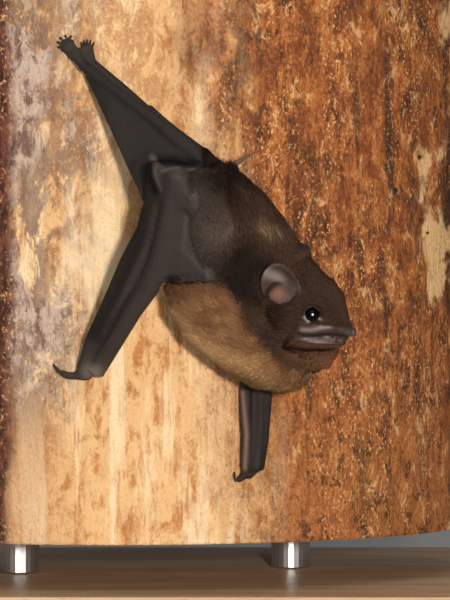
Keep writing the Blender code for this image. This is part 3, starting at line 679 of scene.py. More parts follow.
# colours, the same for skin and coat
colors = {
    "back": (0.056, 0.029, 0.018), "rump": (0.017, 0.009, 0.007), "crown": (0.056, 0.030, 0.019),
    # the markings lay the dark colour on partly as painted shade, behind the ear and under the arm's edge
    "chin": (0.082, 0.037, 0.023), "throatRed": (0.16, 0.062, 0.032), "dark": (0.017, 0.011, 0.008),
    "throat": (0.036, 0.018, 0.012), "flank": (0.105, 0.074, 0.057), "stripe": (0.46, 0.31, 0.155),
    "belly": (0.185, 0.083, 0.037), "bellyPale": (0.30, 0.165, 0.075), "bellyLow": (0.56, 0.32, 0.14),
    # the lip colour is a painted highlight on the lips
    "chest": (0.15, 0.066, 0.032), "muzzle": (0.042, 0.022, 0.017), "lipHighlight": (0.19, 0.145, 0.135),
    # the lid colour is a painted highlight, and the eye skin colour is also laid along the mouth as painted
    # shade
    "nose": (0.075, 0.055, 0.05), "eyeSkinAndMouthShade": (0.014, 0.010, 0.009), "lidHighlight": (0.30, 0.25, 0.20),
    # the wing dark colour is painted shade, laid in the wings' clefts and gaps and beside the left wing's
    # ridges
    "wing": (0.040, 0.030, 0.026), "wingLow": (0.028, 0.020, 0.017), "wingShade": (0.013, 0.010, 0.008),
    # the wing pale and wrist colours are painted highlights, while the wing rim colour is the wing's own
    "wingRim": (0.050, 0.038, 0.031), "wingPaleHighlight": (0.088, 0.072, 0.058), "wristHighlight": (0.14, 0.115, 0.092),
    # the wing faint colour is a painted highlight, the crease colour is painted shade, and the ridge colour
    # is a painted highlight on the left wing's ridges that is also the tail's own colour
    "wingFaintHighlight": (0.060, 0.048, 0.039), "creaseShade": (0.002, 0.002, 0.002), "ridge": (0.17, 0.10, 0.068),
    # the ear grey colour is a painted highlight in the ear's bowl
    "legSheet": (0.024, 0.020, 0.017), "ear": (0.055, 0.036, 0.028), "earHighlight": (0.27, 0.22, 0.19),
    "earPink": (0.19, 0.085, 0.055), "earBlue": (0.085, 0.066, 0.066), "foot": (0.036, 0.028, 0.024),
}
marks = {
    "bellyTop": ((2, 8, 11.6, 13.5, 17, 20, 24, 27, 30, 32),
                 (-4, -1.8, -0.4, 1.2, 0, -1.3, -1.7, -2, -1.8, -1.4)),
    "throatSpots": ((23.9, 0.4, 1.7), (26.9, -0.3, 1.5), (29.9, -0.6, 1.3)),
    # the line of painted shade under the edge of the arm's membrane
    "armEdgeShade": ((2.2, 57.3), (6.0, 57.7), (9.0, 57.6)),
    "stripeLine": ((0, 5.3, 8.5, 11.2, 14.1, 18), (2.8, 2.6, 1.7, 3.9, 1.4, 2.2)), "stripeStrength": 0.07,
    "stripeSpots": ((11.4, 11.2, 4.4, 1.2), (12.9, 12.0, 2.8, 0.9)),
    "wingRim": ((56.6, 61.7, 78), (11, 6.5, 7)),
}


# the colours of points: each is laid over the last by a mask
class Paint:
    def __init__(self, points, name):
        self.color = np.tile(np.array(colors[name]), (len(points), 1))

    def over(self, name, mask):
        self.color = self.color + (np.array(colors[name]) - self.color) * mask[:, None]


def markings(points):
    along, height, side = onTrunk(points)
    side = np.abs(side)
    x, _, z = (points / mm).T
    patchy, mottled = wave(points, 0.55, 3), wave(points, 1.3, 8)
    paint = Paint(points, "back")
    paint.over("rump", fall(along, 2.5, 8.5) * 0.9)
    flank = bell(np.hypot((along - 4.5) / 5.5, (height - 4.5) / 4), 1) * rise(side, 5, 8)
    low = 1 - 0.7 * rise(z, 69.5, 73)
    paint.over("flank", np.clip(flank * 1.3, 0, 1) * low)
    rim = fall(x - np.interp(z, *marks["wingRim"]), 0.5, 5.0)
    armPart = groupShare("upper_arm_right", "flank_sheet_right", "arm_sheet_right")
    armPart = skinSmoother.relax(armPart, 60, 0.6)
    paint.over("wingRim", rim * low * armPart)
    bellyTop = np.interp(along, *marks["bellyTop"]) + (patchy - 0.5) * 1.2
    belly = fall(height, bellyTop - 0.9, bellyTop + 0.7)
    belly *= 1 - np.clip(groupShare("upper_arm", "thigh", "arm_sheet", "flank_sheet") * 1.5, 0, 1)
    # a dark patch behind the ear: partly the dark fur of the neck, partly painted shade of the ear and of the
    # hollow by the shoulder
    darkFurAndEarShade = np.exp(-(((along - 15.0) / 5.0) ** 2 + ((height - 4.6) / 3.6) ** 2)) * rise(side, 2, 5)
    paint.over("dark", np.clip(darkFurAndEarShade * 1.7, 0, 1) * (1 - belly))
    paint.over("belly", belly)
    paint.over("bellyPale", belly * rise(mottled, 0.35, 0.8) * 0.7 * rise(along, 9, 15))
    chest = rise(along, 27, 32.5)
    paint.over("chest", belly * chest * 0.75)
    forward = rise(along, 18, 27)
    low = fall(height, -10.5 + 4 * forward, -5.5 + 3 * forward)
    paint.over("bellyLow", belly * low * (1 - chest * 0.6))
    for spotAlong, spotHeight, reach in marks["throatSpots"]:
        paint.over("throat", bell(np.hypot(along - spotAlong, (height - spotHeight) * 1.1), reach))
    breast = rise(along, 25, 30) * rise(height, bellyTop, bellyTop + 1.5) * 0.7
    paint.over("chest", breast)
    red = dot(along, height, 33.3, 2.6, 2.4) * rise(side, 0.5, 3)
    paint.over("throatRed", red)
    # painted shade on the trunk along the edge of the arm's membrane
    rim = stroke(x, z, marks["armEdgeShade"], 0.8)
    paint.over("dark", np.clip(rim * 1.3, 0, 1) * groupShare("trunk"))
    line = np.interp(along, *marks["stripeLine"])
    stripe = bell(side - line, 0.8) * rise(height, 9, 10.5) * patchy * marks["stripeStrength"]
    stripe *= rise(along, 2.5, 4.5) * fall(along, 14.5, 17)
    for a, h, w, reach in marks["stripeSpots"]:
        far = np.sqrt((along - a) ** 2 + (height - h) ** 2 + (side - w) ** 2)
        stripe = np.maximum(stripe, bell(far, reach) * (0.85 + 0.5 * mottled))
    paint.over("stripe", np.clip(stripe, 0, 1) * rise(along, 2.5, 4.5))
    return paint


def headColor(points, paint):
    back, up, out = onHead(points)
    out = np.abs(out)
    headPart = part("head", "neck")
    bare = faceShare * (1 - furShare)
    paint.over("crown", headPart * fall(back, 14, 18))
    cheek = rise(back, 6.5, 9) * fall(up, -2, 0)
    paint.over("throat", headPart * cheek * 0.4)
    paint.over("muzzle", bare)
    paint.over("chin", groupShare("lower_jaw") * furShare)
    # pale bands of painted highlight along the lip ridge and the lower lip
    ridge = stroke(back, up, face["lipRidge"], 0.42)
    ridge = ridge + 0.8 * stroke(back, up, face["lowerLipHighlight"], 0.34)
    paint.over("lipHighlight", np.clip(ridge, 0, 1) * bare * rise(out, 1.0, 2.2))
    # painted shade in the mouth's crease, in the dark skin colour of the eye's rim
    paint.over("eyeSkinAndMouthShade", stroke(back, up, face["mouth"], face["mouthWidth"]) * bare)
    paint.over("nose", bell(np.hypot(back, up), 0.9) * bare)
    b, u, o = face["eye"]
    eye = np.sqrt((back - b) ** 2 + (up - u) ** 2 + (out - o) ** 2)
    paint.over("eyeSkinAndMouthShade", fall(eye, 1.2, 1.9) * headPart)
    # pale spots of painted highlight on the lids
    for b, u, o, size in face["lidHighlightSpots"]:
        paint.over("lidHighlight", dot(back, up, b, u, size) * rise(out, o - 2, o - 1) * headPart)


# the grey spot is a painted highlight on the lit upper inside of the ear
# colour, place back and its reach, height and its reach
earMarks = (("earHighlight", 14.0, 1.4, 2.6, 1.0), ("earPink", 13.2, 1.5, -0.1, 1.1))


def earColor(points, paint):
    back, up, out = onHead(points)
    paint.over("ear", part("ear"))
    near = part("ear", "head", "neck") * np.clip(earBowls(points), 0, 1)
    paint.over("ear", near * 0.8)
    for name, b, backReach, u, upReach in earMarks:
        spot = bell(np.hypot((back - b) / backReach, (up - u) / upReach), 1)
        paint.over(name, near * np.clip(spot * 1.2, 0, 1))
    blue = dot(back, up, 10.3, 2.5, 0.9) * rise(np.abs(out), 5, 6)
    paint.over("earBlue", blue)


kneeNodes = "leg_sheet hand_right forearm_right thigh arm_sheet upper_arm"
wristNodes = "hand_right forearm_right leg_sheet"
leftNodes = "forearm_left hand_left"
# colour, width and course of each mark on the wings, and the pieces that carry it; apart from the left wing's
# own darker colour, the dark marks are painted shade and the pale ones painted highlights
wingMarks = (
    # painted shade in the cleft between the right forearm and the folded fingers
    ("wingShade", 2.0, ((0.5, 69.0), (-1.6, 62.0), (-4.4, 55.5), (-8.5, 48.5)), "hand_right forearm_right"),
    # painted shade: the unlit gap above the wing's top edge, the forearm's shadow on the leg membrane left of
    # the elbow, and near-black creases along both
    ("wingShade", 0.9, ((1.2, 76.2), (4.5, 76.0), (9.0, 75.5)), kneeNodes),
    ("wingShade", 0.7, ((0.9, 75.6), (0.3, 73.0), (1.0, 70.5)), wristNodes),
    ("creaseShade", 0.62, ((0.6, 75.7), (1.6, 76.1), (4.5, 75.9), (9.0, 75.3)), kneeNodes + " shank"),
    ("creaseShade", 0.6, ((0.5, 75.4), (0.7, 73.2), (1.6, 70.6)), wristNodes),
    # a painted highlight on the lit skin edge of the elbow
    ("wingFaintHighlight", 0.3, ((1.5, 73.8), (1.9, 72.4), (2.5, 70.8)), "hand_right forearm_right"),
    # painted highlights on the lit band along the fold's upper edge, on the elbow and on the wrist
    ("wingPaleHighlight", 0.25, ((2.6, 73.6), (5.1, 74.2), (7.4, 74.5)), "leg_sheet forearm_right upper_arm"),
    ("wingPaleHighlight", 0.5, ((0.7, 76.5), (0.9, 76.3)), wristNodes),
    ("wristHighlight", 1.2, ((-9.8, 42.6), (-8.6, 42.4)), "hand_right forearm_right thumb_right"),
    # painted highlights along the folds of the arm's membrane
    ("wingFaintHighlight", 0.4, ((5.9, 61.7), (7.7, 59.9), (9.6, 57.7)), "arm_sheet_right flank_sheet_right"),
    ("wingFaintHighlight", 0.35, ((6.3, 66.7), (5.9, 63.2), (5.7, 61.9)),
     "arm_sheet_right flank_sheet_right upper_arm_right"),
    ("wingLow", 6.0, ((17.0, 40.0), (17.0, 24.0)), leftNodes + " thumb_left"),
    # painted shade beside the left wing's finger ridges, and a painted highlight along one ridge
    ("wingShade", 0.35, ((16.4, 40.0), (16.6, 32.0), (16.3, 26.0)), leftNodes),
    ("wingShade", 0.35, ((18.6, 40.0), (18.4, 32.0), (18.0, 26.0)), leftNodes),
    ("ridge", 0.36, ((15.0, 39.0), (15.7, 32.0), (15.4, 26.5)), leftNodes),
)


def wingColor(points, paint):
    x, _, z = (points / mm).T
    naked = 1 - furShare
    paint.over("wing", naked * part("forearm", "hand", "thumb", "shank", "arm_sheet", "flank_sheet",
                                    "fold_sheet", "upper_arm"))
    paint.over("legSheet", naked * part("leg_sheet", "tail_sheet", "shank", "thigh"))
    for name, width, line, places in wingMarks:
        paint.over(name, stroke(x, z, line, width) * part(*places.split()) * naked)
    paint.over("foot", part("foot"))
    paint.over("ridge", tailShare())


def skinColors(points):
    paint = markings(points)
    for layer in (wingColor, headColor, earColor):
        layer(points, paint)
    return np.clip(paint.color, 0, 1)


def skinMaterial():
    n = Nodes("batSkinMaterial")
    place = n.place()
    fine, broad = n.noise(place, 1800, 3), n.noise(place, 260, 3)
    tone = n.plus(n.times(broad, 0.5), 0.75)
    color = n.mix(1.0, n.attribute("coatTint"), n.mix(tone, (0.0, 0.0, 0.0), (1.0, 1.0, 1.0)), "MULTIPLY")
    height = n.plus(n.times(fine, 0.4), broad)
    rough = n.mix(n.attribute("skinGloss", "Fac"), (skin["limbRough"],) * 3, (skin["bareRough"],) * 3)
    return n.finish(Base_Color=color, Roughness=rough, Specular_IOR_Level=skin["specular"],
                    Normal=n.bump(height, 0.00015, 0.7))


def opaque(color):
    return np.column_stack([color, np.ones(len(color))])


batSkin = makePiece("batSkin", skinPoints, skinTriangles.tolist(), skinMaterial())
smoothShade(batSkin.data)
setPointData(batSkin.data, "coatTint", opaque(skinColors(skinPoints)))
setPointData(batSkin.data, "skinGloss", faceShare * (1 - furShare))
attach(batSkin, "root")
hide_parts(*fleshNodes)

# coat: tufts of hair that lie along the body
tufts = {
    "width": 0.16, "spread": 0.22, "tipBend": 0.62, "seed": 7, "rough": 0.75, "specular": 0.07,
    "patch": 0.0015,
    "pieces": {
        "coatBack": 19000, "coatRightSide": 19500, "coatLeftSide": 16000, "coatBelly": 16500,
        "coatChestRight": 16500, "coatChestLeft": 13500, "coatHead": 19500, "coatLimbsRight": 15500,
        "coatLimbsLeft": 9000,
    },
}


# the way the hairs lie: to the rump on trunk and neck, back from the nose on the head, down each limb
def combDirections(points, normals):
    trunkPart = groupShare("trunk") + 1e-6
    front = rise(onTrunk(points)[0], 22, 31)
    comb = -trunkPart[:, None] * (trunkForward + np.outer(1.6 * front - 0.15, trunkLift))
    comb += np.outer(groupShare("lower_jaw"), -headLift * 1.3)
    comb += np.outer(groupShare("head", "lower_jaw", "neck"), -headForward - headLift * 0.25)
    for name, way in limbWays.items():
        comb += np.outer(groupShare(name), way)
    comb += np.outer(groupShare("flank_sheet_right", "arm_sheet_right"), unit((-0.62, -0.1, 0.78)))
    for _ in range(3):
        comb -= normals * np.sum(comb * normals, axis=1, keepdims=True)
        comb /= np.maximum(lengths(comb), 1e-9)
        comb = skinSmoother.relax(comb, 8, 0.6)
    return comb / np.maximum(lengths(comb), 1e-9)


limbWays = {
    "upper_arm_right": unit((-10.9, -17, 14.8)), "upper_arm_left": unit((-0.4, 9, 11.4)),
    "thigh_right": unit((-10.5, 4.4, 10.7)), "thigh_left": unit((-8.4, 6.9, 8.6)),
}


# one hair tuft of unit length, width and lift: three sides, a bend and a point
def tuftMesh():
    bend = tufts["tipBend"]
    points = [(0, -0.5, -0.15), (0, 0.5, -0.15), (0, 0, 0.2),
              (0.45, -0.42, bend - 0.16), (0.45, 0.42, bend - 0.16), (0.45, 0, bend + 0.08), (1, 0, 1)]
    faces = [(0, 1, 4, 3), (1, 2, 5, 4), (2, 0, 3, 5), (3, 4, 6), (4, 5, 6), (5, 3, 6), (2, 1, 0)]
    mesh = bpy.data.meshes.new("tuft")
    mesh.from_pydata(points, [], faces)
    along = mesh.attributes.new("alongTuft", "FLOAT", "POINT")
    along.data.foreach_set("value", [p[0] for p in points])
    built = openMesh(mesh)
    bmesh.ops.triangulate(built, faces=built.faces)
    bmesh.ops.recalc_face_normals(built, faces=built.faces)
    closeMesh(built, mesh)
    smoothShade(mesh)
    return mesh


def coatTree(material):
    tree = bpy.data.node_groups.new("coatTufts", "GeometryNodeTree")
    tree.interface.new_socket("Geometry", in_out="OUTPUT", socket_type="NodeSocketGeometry")
    for name, kind in (("Geometry", "Geometry"), ("Tuft", "Object"), ("Density", "Float"), ("Seed", "Int"),
                       ("Width", "Float"), ("Spread", "Float")):
        tree.interface.new_socket(name, in_out="INPUT", socket_type="NodeSocket" + kind)

    def add(kind, settings, *values, **named):
        return addNode(tree, kind, settings, *values, **named)

    def field(name, kind="FLOAT"):
        return add("GeometryNodeInputNamedAttribute", {"data_type": kind}, name)

    def randomOf(low, high, seed, kind="FLOAT"):
        return add("FunctionNodeRandomValue", {"data_type": kind}, low, high, Seed=seed)

    def times(a, b):
        return add("ShaderNodeMath", {"operation": "MULTIPLY"}, a, b)

    given = tree.nodes.new("NodeGroupInput").outputs
    roots = add("GeometryNodeDistributePointsOnFaces", {}, Mesh=given["Geometry"], Seed=given["Seed"],
                Density=times(given["Density"], field("coatCover")))
    sway = add("ShaderNodeVectorMath", {"operation": "SCALE"},
               randomOf((-1, -1, -1), (1, 1, 1), 3, "FLOAT_VECTOR"), given["Spread"])
    comb = add("ShaderNodeVectorMath", {"operation": "ADD"}, field("coatComb", "FLOAT_VECTOR"), sway)
    turn = add("FunctionNodeAxesToRotation", {"primary_axis": "Z", "secondary_axis": "X"},
               field("coatGuide", "FLOAT_VECTOR"), comb)
    size = add("ShaderNodeCombineXYZ", {}, times(field("coatLength"), randomOf(0.7, 1.2, 11)),
               times(times(given["Width"], field("coatFine")), randomOf(0.7, 1.3, 12)),
               times(field("coatLift"), randomOf(0.55, 1.15, 13)))
    for name, kind, value in (("tuftTone", "FLOAT", randomOf(0, 1, 21)),
                              ("tuftRoot", "FLOAT_VECTOR", add("GeometryNodeInputPosition", {}))):
        roots = add("GeometryNodeStoreNamedAttribute", {"data_type": kind, "domain": "POINT"},
                    Geometry=roots, Name=name, Value=value)
    tuft = add("GeometryNodeObjectInfo", {}, given["Tuft"], False).node.outputs["Geometry"]
    placed = add("GeometryNodeInstanceOnPoints", {}, Points=roots, Instance=tuft, Rotation=turn, Scale=size)
    real = add("GeometryNodeRealizeInstances", {}, placed)
    add("NodeGroupOutput", {}, add("GeometryNodeSetMaterial", {}, Geometry=real, Material=material))
    return tree


def coatMaterial():
    n = Nodes("batCoatMaterial")
    tone = n.plus(n.times(n.attribute("tuftTone", "Fac"), 0.5), 0.45)
    light = n.plus(n.times(n.attribute("alongTuft", "Fac"), 0.55), tone)
    grey = n.add("ShaderNodeCombineColor", {}, light, light, light)
    color = n.mix(1.0, n.attribute("coatTint"), grey, "MULTIPLY")
    return n.finish(Base_Color=color, Roughness=tufts["rough"], Specular_IOR_Level=tufts["specular"])


def regionOf(points):
    along, height, side = onTrunk(points)
    limbPart = groupShare("upper_arm", "thigh", "flank_sheet", "arm_sheet")
    rightPart = groupShare(*(n for n in fleshNodes if n.endswith("_right")))
    names = np.full(len(points), "coatRightSide", "U20")
    names[side < 0] = "coatLeftSide"
    names[height > 7.5] = "coatBack"
    names[(height < -5) & (along < 21)] = "coatBelly"
    names[(along >= 21) & (height < 6)] = "coatChestRight"
    names[(along >= 21) & (height < 6) & (side < 0)] = "coatChestLeft"
    names[groupShare("head", "neck", "lower_jaw") > 0.5] = "coatHead"
    names[limbPart > 0.5] = "coatLimbsLeft"
    names[(limbPart > 0.5) & (rightPart > 0.5)] = "coatLimbsRight"
    return names


# each root's place on an unwrap round the spine, the head's axis or the limb's axis
def unwrapOf(name, points):
    if name == "coatHead":
        back, up, out = onHead(points)
        return np.column_stack([0.5 + np.arctan2(out, up + 0.5) / (2.04 * math.pi), 0.05 + back / 24])
    along, height, side = onTrunk(points)
    if "Limbs" not in name:
        return np.column_stack([0.5 + np.arctan2(side, height - 1) / (2.04 * math.pi), 0.05 + along / 42])
    p = points / mm
    spots = np.empty((len(p), 2))
    starts = {"upper_arm_right": (11, -69, 64), "upper_arm_left": (18, -51, 61),
              "thigh_right": (8, -58, 75.5), "thigh_left": (9, -51, 75.5)}
    far = np.stack([np.linalg.norm(p - np.array(c), axis=1) for c in starts.values()])
    nearest = far.argmin(axis=0)
    for k, (limb, centre) in enumerate(starts.items()):
        way = limbWays[limb]
        across = unit(np.cross(way, (0, 1, 0.01)))
        other = np.cross(way, across)
        r = p - np.array(centre)
        u = 0.25 + np.arctan2(r @ across, r @ other) / (4.2 * math.pi)
        v = 0.25 + (r @ way) / 70
        chosen = nearest == k
        spots[chosen] = np.column_stack([u, v])[chosen] + np.array([(k % 2) * 0.5, (k // 2) * 0.5])
    return np.clip(spots, 0.002, 0.998)


def triangleAreas(points, triangles):
    a, b, c = (points[triangles[:, k]] for k in range(3))
    return np.linalg.norm(np.cross(b - a, c - a), axis=1) / 2


# length and lift of the hairs in millimetres at each point of the skin
def hairShape(headPart, limbPart):
    back = onHead(skinPoints)[0]
    along, height, _ = onTrunk(skinPoints)
    jaw, napeAndNeck = groupShare("lower_jaw"), rise(along, 13, 17) * rise(height, 4, 8)
    napeAndNeck = np.clip(napeAndNeck + groupShare("neck"), 0, 1)
    length = np.full(len(skinPoints), coat["length"])
    length -= coat["chestShorter"] * rise(along, 22, 27) + coat["bustShorter"] * rise(along, 29, 33)
    length -= coat["napeShorter"] * napeAndNeck
    length += (coat["limbLength"] - length) * limbPart
    length += (coat["noseLength"] + coat["crownLonger"] * rise(back, 3, 10) - length) * headPart
    length *= 0.3 + 0.7 * rise(furFade, 0.55, 0.95)
    length += (coat["jawLength"] - length) * jaw
    x, _, z = (skinPoints / mm).T
    for spotX, spotZ, reach in coat["shortSpots"]:
        length *= 1 - 0.5 * dot(x, z, spotX, spotZ, reach)
    lift = np.maximum(furDepth * (1 - 0.45 * rise(along, 29, 33)), coat["liftLeast"])
    lift = np.maximum(np.minimum(lift, coat["liftMost"]), coat["napeLift"] * napeAndNeck)
    lift = np.maximum(lift, coat["jawLift"] * jaw) * (0.35 + 0.65 * rise(furFade, 0.45, 0.95))
    return length, lift


# each tuft gets a small patch on the unwrap at its root's place
def bakePatches(name, made):
    count = len(made.vertices)
    roots = np.empty(count * 3, np.float32)
    made.attributes["tuftRoot"].data.foreach_get("vector", roots)
    spots = unwrapOf(name, roots.reshape(-1, 3).astype(float))
    patch = np.array([(0, -1), (0, 1), (0, 0), (0.45, -0.84), (0.45, 0.84), (0.45, 0), (1, 0)])
    spots += np.tile(patch, (count // len(patch), 1))[:, ::-1] * (tufts["patch"], tufts["patch"] * 2)
    corners = np.empty(len(made.loops), np.int32)
    made.loops.foreach_get("vertex_index", corners)
    flat = made.uv_layers.new(name="OFBake")
    flat.data.foreach_set("uv", spots[corners].astype(np.float32).ravel())
    return count // len(patch)


def buildCoat():
    normals = pointNormals(skinPoints, skinTriangles)
    comb = combDirections(skinPoints, normals)
    limbPart = part("upper_arm", "thigh", "flank_sheet", "arm_sheet")
    length, lift = hairShape(faceShare, limbPart)
    guide = skinSmoother.relax(normals, 12, 0.6)
    guide /= lengths(guide)
    cover = rise(furShare, 0.35, 0.8)
    fields = {
        "coatCover": cover, "coatComb": comb, "coatGuide": guide,
        "coatLength": length * mm, "coatLift": lift * mm, "coatFine": 1 - 0.45 * faceShare - 0.2 * limbPart,
    }
    tint = opaque(skinColors(skinPoints + comb * (length * 0.6 * mm)[:, None]))
    region = regionOf(skinPoints)
    material = coatMaterial()
    tree = coatTree(material)
    sockets = {s.name: s.identifier for s in tree.interface.items_tree if s.in_out == "INPUT"}
    tuft = showMesh("tuft", tuftMesh())
    for k, (name, wanted) in enumerate(tufts["pieces"].items()):
        inside = (region[skinTriangles] == name).sum(axis=1) >= 2
        chosen = skinTriangles[inside & (cover[skinTriangles].mean(axis=1) > 0.02)]
        used, inverse = np.unique(chosen, return_inverse=True)
        source = makePiece(name + "Source", skinPoints[used], inverse.reshape(-1, 3).tolist(), material)
        smoothShade(source.data)
        area = (triangleAreas(skinPoints, chosen) * cover[chosen].mean(axis=1)).sum()
        for field, values in (*fields.items(), ("coatTint", tint)):
            setPointData(source.data, field, values[used])
        grow = source.modifiers.new("tufts", "NODES")
        grow.node_group = tree
        for socket, value in (("Tuft", tuft), ("Density", float(wanted / area)), ("Seed", tufts["seed"] + k),
                              ("Width", tufts["width"] * mm), ("Spread", tufts["spread"])):
            grow[sockets[socket]] = value
        made = takeResult(source)
        count = bakePatches(name, made)
        for spare in ("tuftRoot", *fields):
            if spare in made.attributes:
                made.attributes.remove(made.attributes[spare])
        made.name = name
        piece = showMesh(name, made)
        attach(piece, "root")
        print(name, count, "tufts on", round(area / mm / mm), "square mm")
    bpy.data.objects.remove(tuft)


buildCoat()


def plainMaterial(name, color, roughness, **more):
    return Nodes(name).finish(Base_Color=color, Roughness=roughness, **more)


# claws, rounded and with their roots drawn out into the toes
claws = {"reach": 0.5, "rounding": 2, "color": (0.02, 0.015, 0.012), "rough": 0.35}


def buildClaws():
    spots = kdtree.KDTree(len(skinPoints))
    for k, p in enumerate(skinPoints):
        spots.insert(p, k)
    spots.balance()
    names = [n for n in nodes if "claw" in n]
    whole = bmesh.new()
    for name in names:
        built = openMesh(nodes[name].data, weld=True)
        middle = sum((v.co for v in built.verts), Vector()) / len(built.verts)
        near = min(built.verts, key=lambda v: spots.find(v.co)[2])
        way = (middle - near.co).normalized()
        depth = min((v.co - middle).dot(way) for v in built.verts)
        for v in built.verts:
            share = max(0.0, (v.co - middle).dot(way) / depth)
            v.co -= way * claws["reach"] * mm * share ** 2
        whole.from_mesh(closeMesh(built, name + "Part"))
    mesh = closeMesh(whole, "clawMesh")
    mesh.materials.clear()
    mesh.materials.append(plainMaterial("clawHorn", claws["color"], claws["rough"]))
    rough = showMesh("roughClaws", mesh)
    rounded = rough.modifiers.new("rounded", "SUBSURF")
    rounded.levels = rounded.render_levels = claws["rounding"]
    made = takeResult(rough)
    smoothShade(made)
    made.name = "batClaws"
    batClaws = showMesh("batClaws", made)
    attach(batClaws, "root")
    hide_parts(*names)
    print("claws", len(names))


buildClaws()

# eyes, with a small flat facet between camera and key light that carries the glint
eyes = {
    "flat": 0.21, "around": 96, "rings": 64, "color": (0.002, 0.0015, 0.0015), "rough": 0.2, "specular": 0.1,
}
eyeMaterial = plainMaterial("wetEye", eyes["color"], eyes["rough"], Specular_IOR_Level=eyes["specular"])


def eyeBall(node):
    low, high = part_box(node)
    centre = (Vector(low) + Vector(high)) / 2
    radius = (high[0] - low[0]) / 2
    built = bmesh.new()
    bmesh.ops.create_uvsphere(built, u_segments=eyes["around"], v_segments=eyes["rings"], radius=radius)
    toLight = (Vector(light["keyPlace"]) - centre).normalized() + (camera.location - centre).normalized()
    toLight.normalize()
    for v in built.verts:
        over = v.co.dot(toLight) - radius * math.cos(eyes["flat"])
        if over > 0:
            v.co -= toLight * over
    mesh = closeMesh(built, node + "Ball")
    mesh.transform(Matrix.Translation(centre))
    mesh.materials.append(eyeMaterial)
    smoothShade(mesh)
    ball = showMesh(node + "Ball", mesh)
    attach(ball, "root")
    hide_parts(node)


for node in ("eye_right", "eye_left"):
    eyeBall(node)
print("eyes made")

# log, an upright oval turned a little to the right
log = {
    "halfWidth": 56.0, "halfDepth": 42.0, "turn": math.radians(12), "foot": 14.0, "top": 110.0,
    "around": 420, "rows": 190, "inset": 0.15,
}


def buildLog():
    around, rows = log["around"], log["rows"]
    angle = np.arange(around) / around * 2 * math.pi
    x = (log["halfWidth"] - log["inset"]) * np.cos(angle)
    y = (log["halfDepth"] - log["inset"]) * np.sin(angle)
    c, s = math.cos(log["turn"]), math.sin(log["turn"])
    levels = np.linspace(log["foot"], log["top"], rows)
    points = np.vstack([np.column_stack([x * c - y * s, x * s + y * c, np.full(around, z)]) for z in levels])
    here = np.arange(around)
    after = (here + 1) % around
    faces = []
    for start in range(0, (rows - 1) * around, around):
        a, b = start + here, start + after
        faces += np.column_stack([a, b, b + around, a + around]).tolist()
    count = len(points)
    for i, j in zip(here.tolist(), after.tolist()):
        faces += [[j, i, count], [count - around + i, count - around + j, count + 1]]
    return np.vstack([points, [[0, 0, log["foot"]], [0, 0, log["top"]]]]) * mm, faces


bark = {
    "cream": (0.80, 0.48, 0.22), "orange": (0.52, 0.205, 0.062), "pale": (0.97, 0.74, 0.46),
    "brown": (0.21, 0.058, 0.017), "rust": (0.44, 0.140, 0.034), "dark": (0.045, 0.018, 0.011),
    "grey": (0.55, 0.40, 0.31), "greyDark": (0.17, 0.10, 0.075), "edge": (0.17, 0.050, 0.028),
    # the fleck colour is partly pale wood and partly painted glints of light on the flakes
    "fleck": (0.85, 0.48, 0.20), "stain": (0.19, 0.11, 0.08), "tan": (0.50, 0.245, 0.105),
    "heart": (0.42, 0.24, 0.12), "sapwood": (0.62, 0.42, 0.24),
    "holes": ((0.0454, 0.0784, 0.0004), (0.0411, 0.0726, 0.0005), (0.0470, 0.0655, 0.0003)),
    "rough": 0.7, "specular": 0.18, "relief": 0.0010, "reliefStrength": 0.9,
}


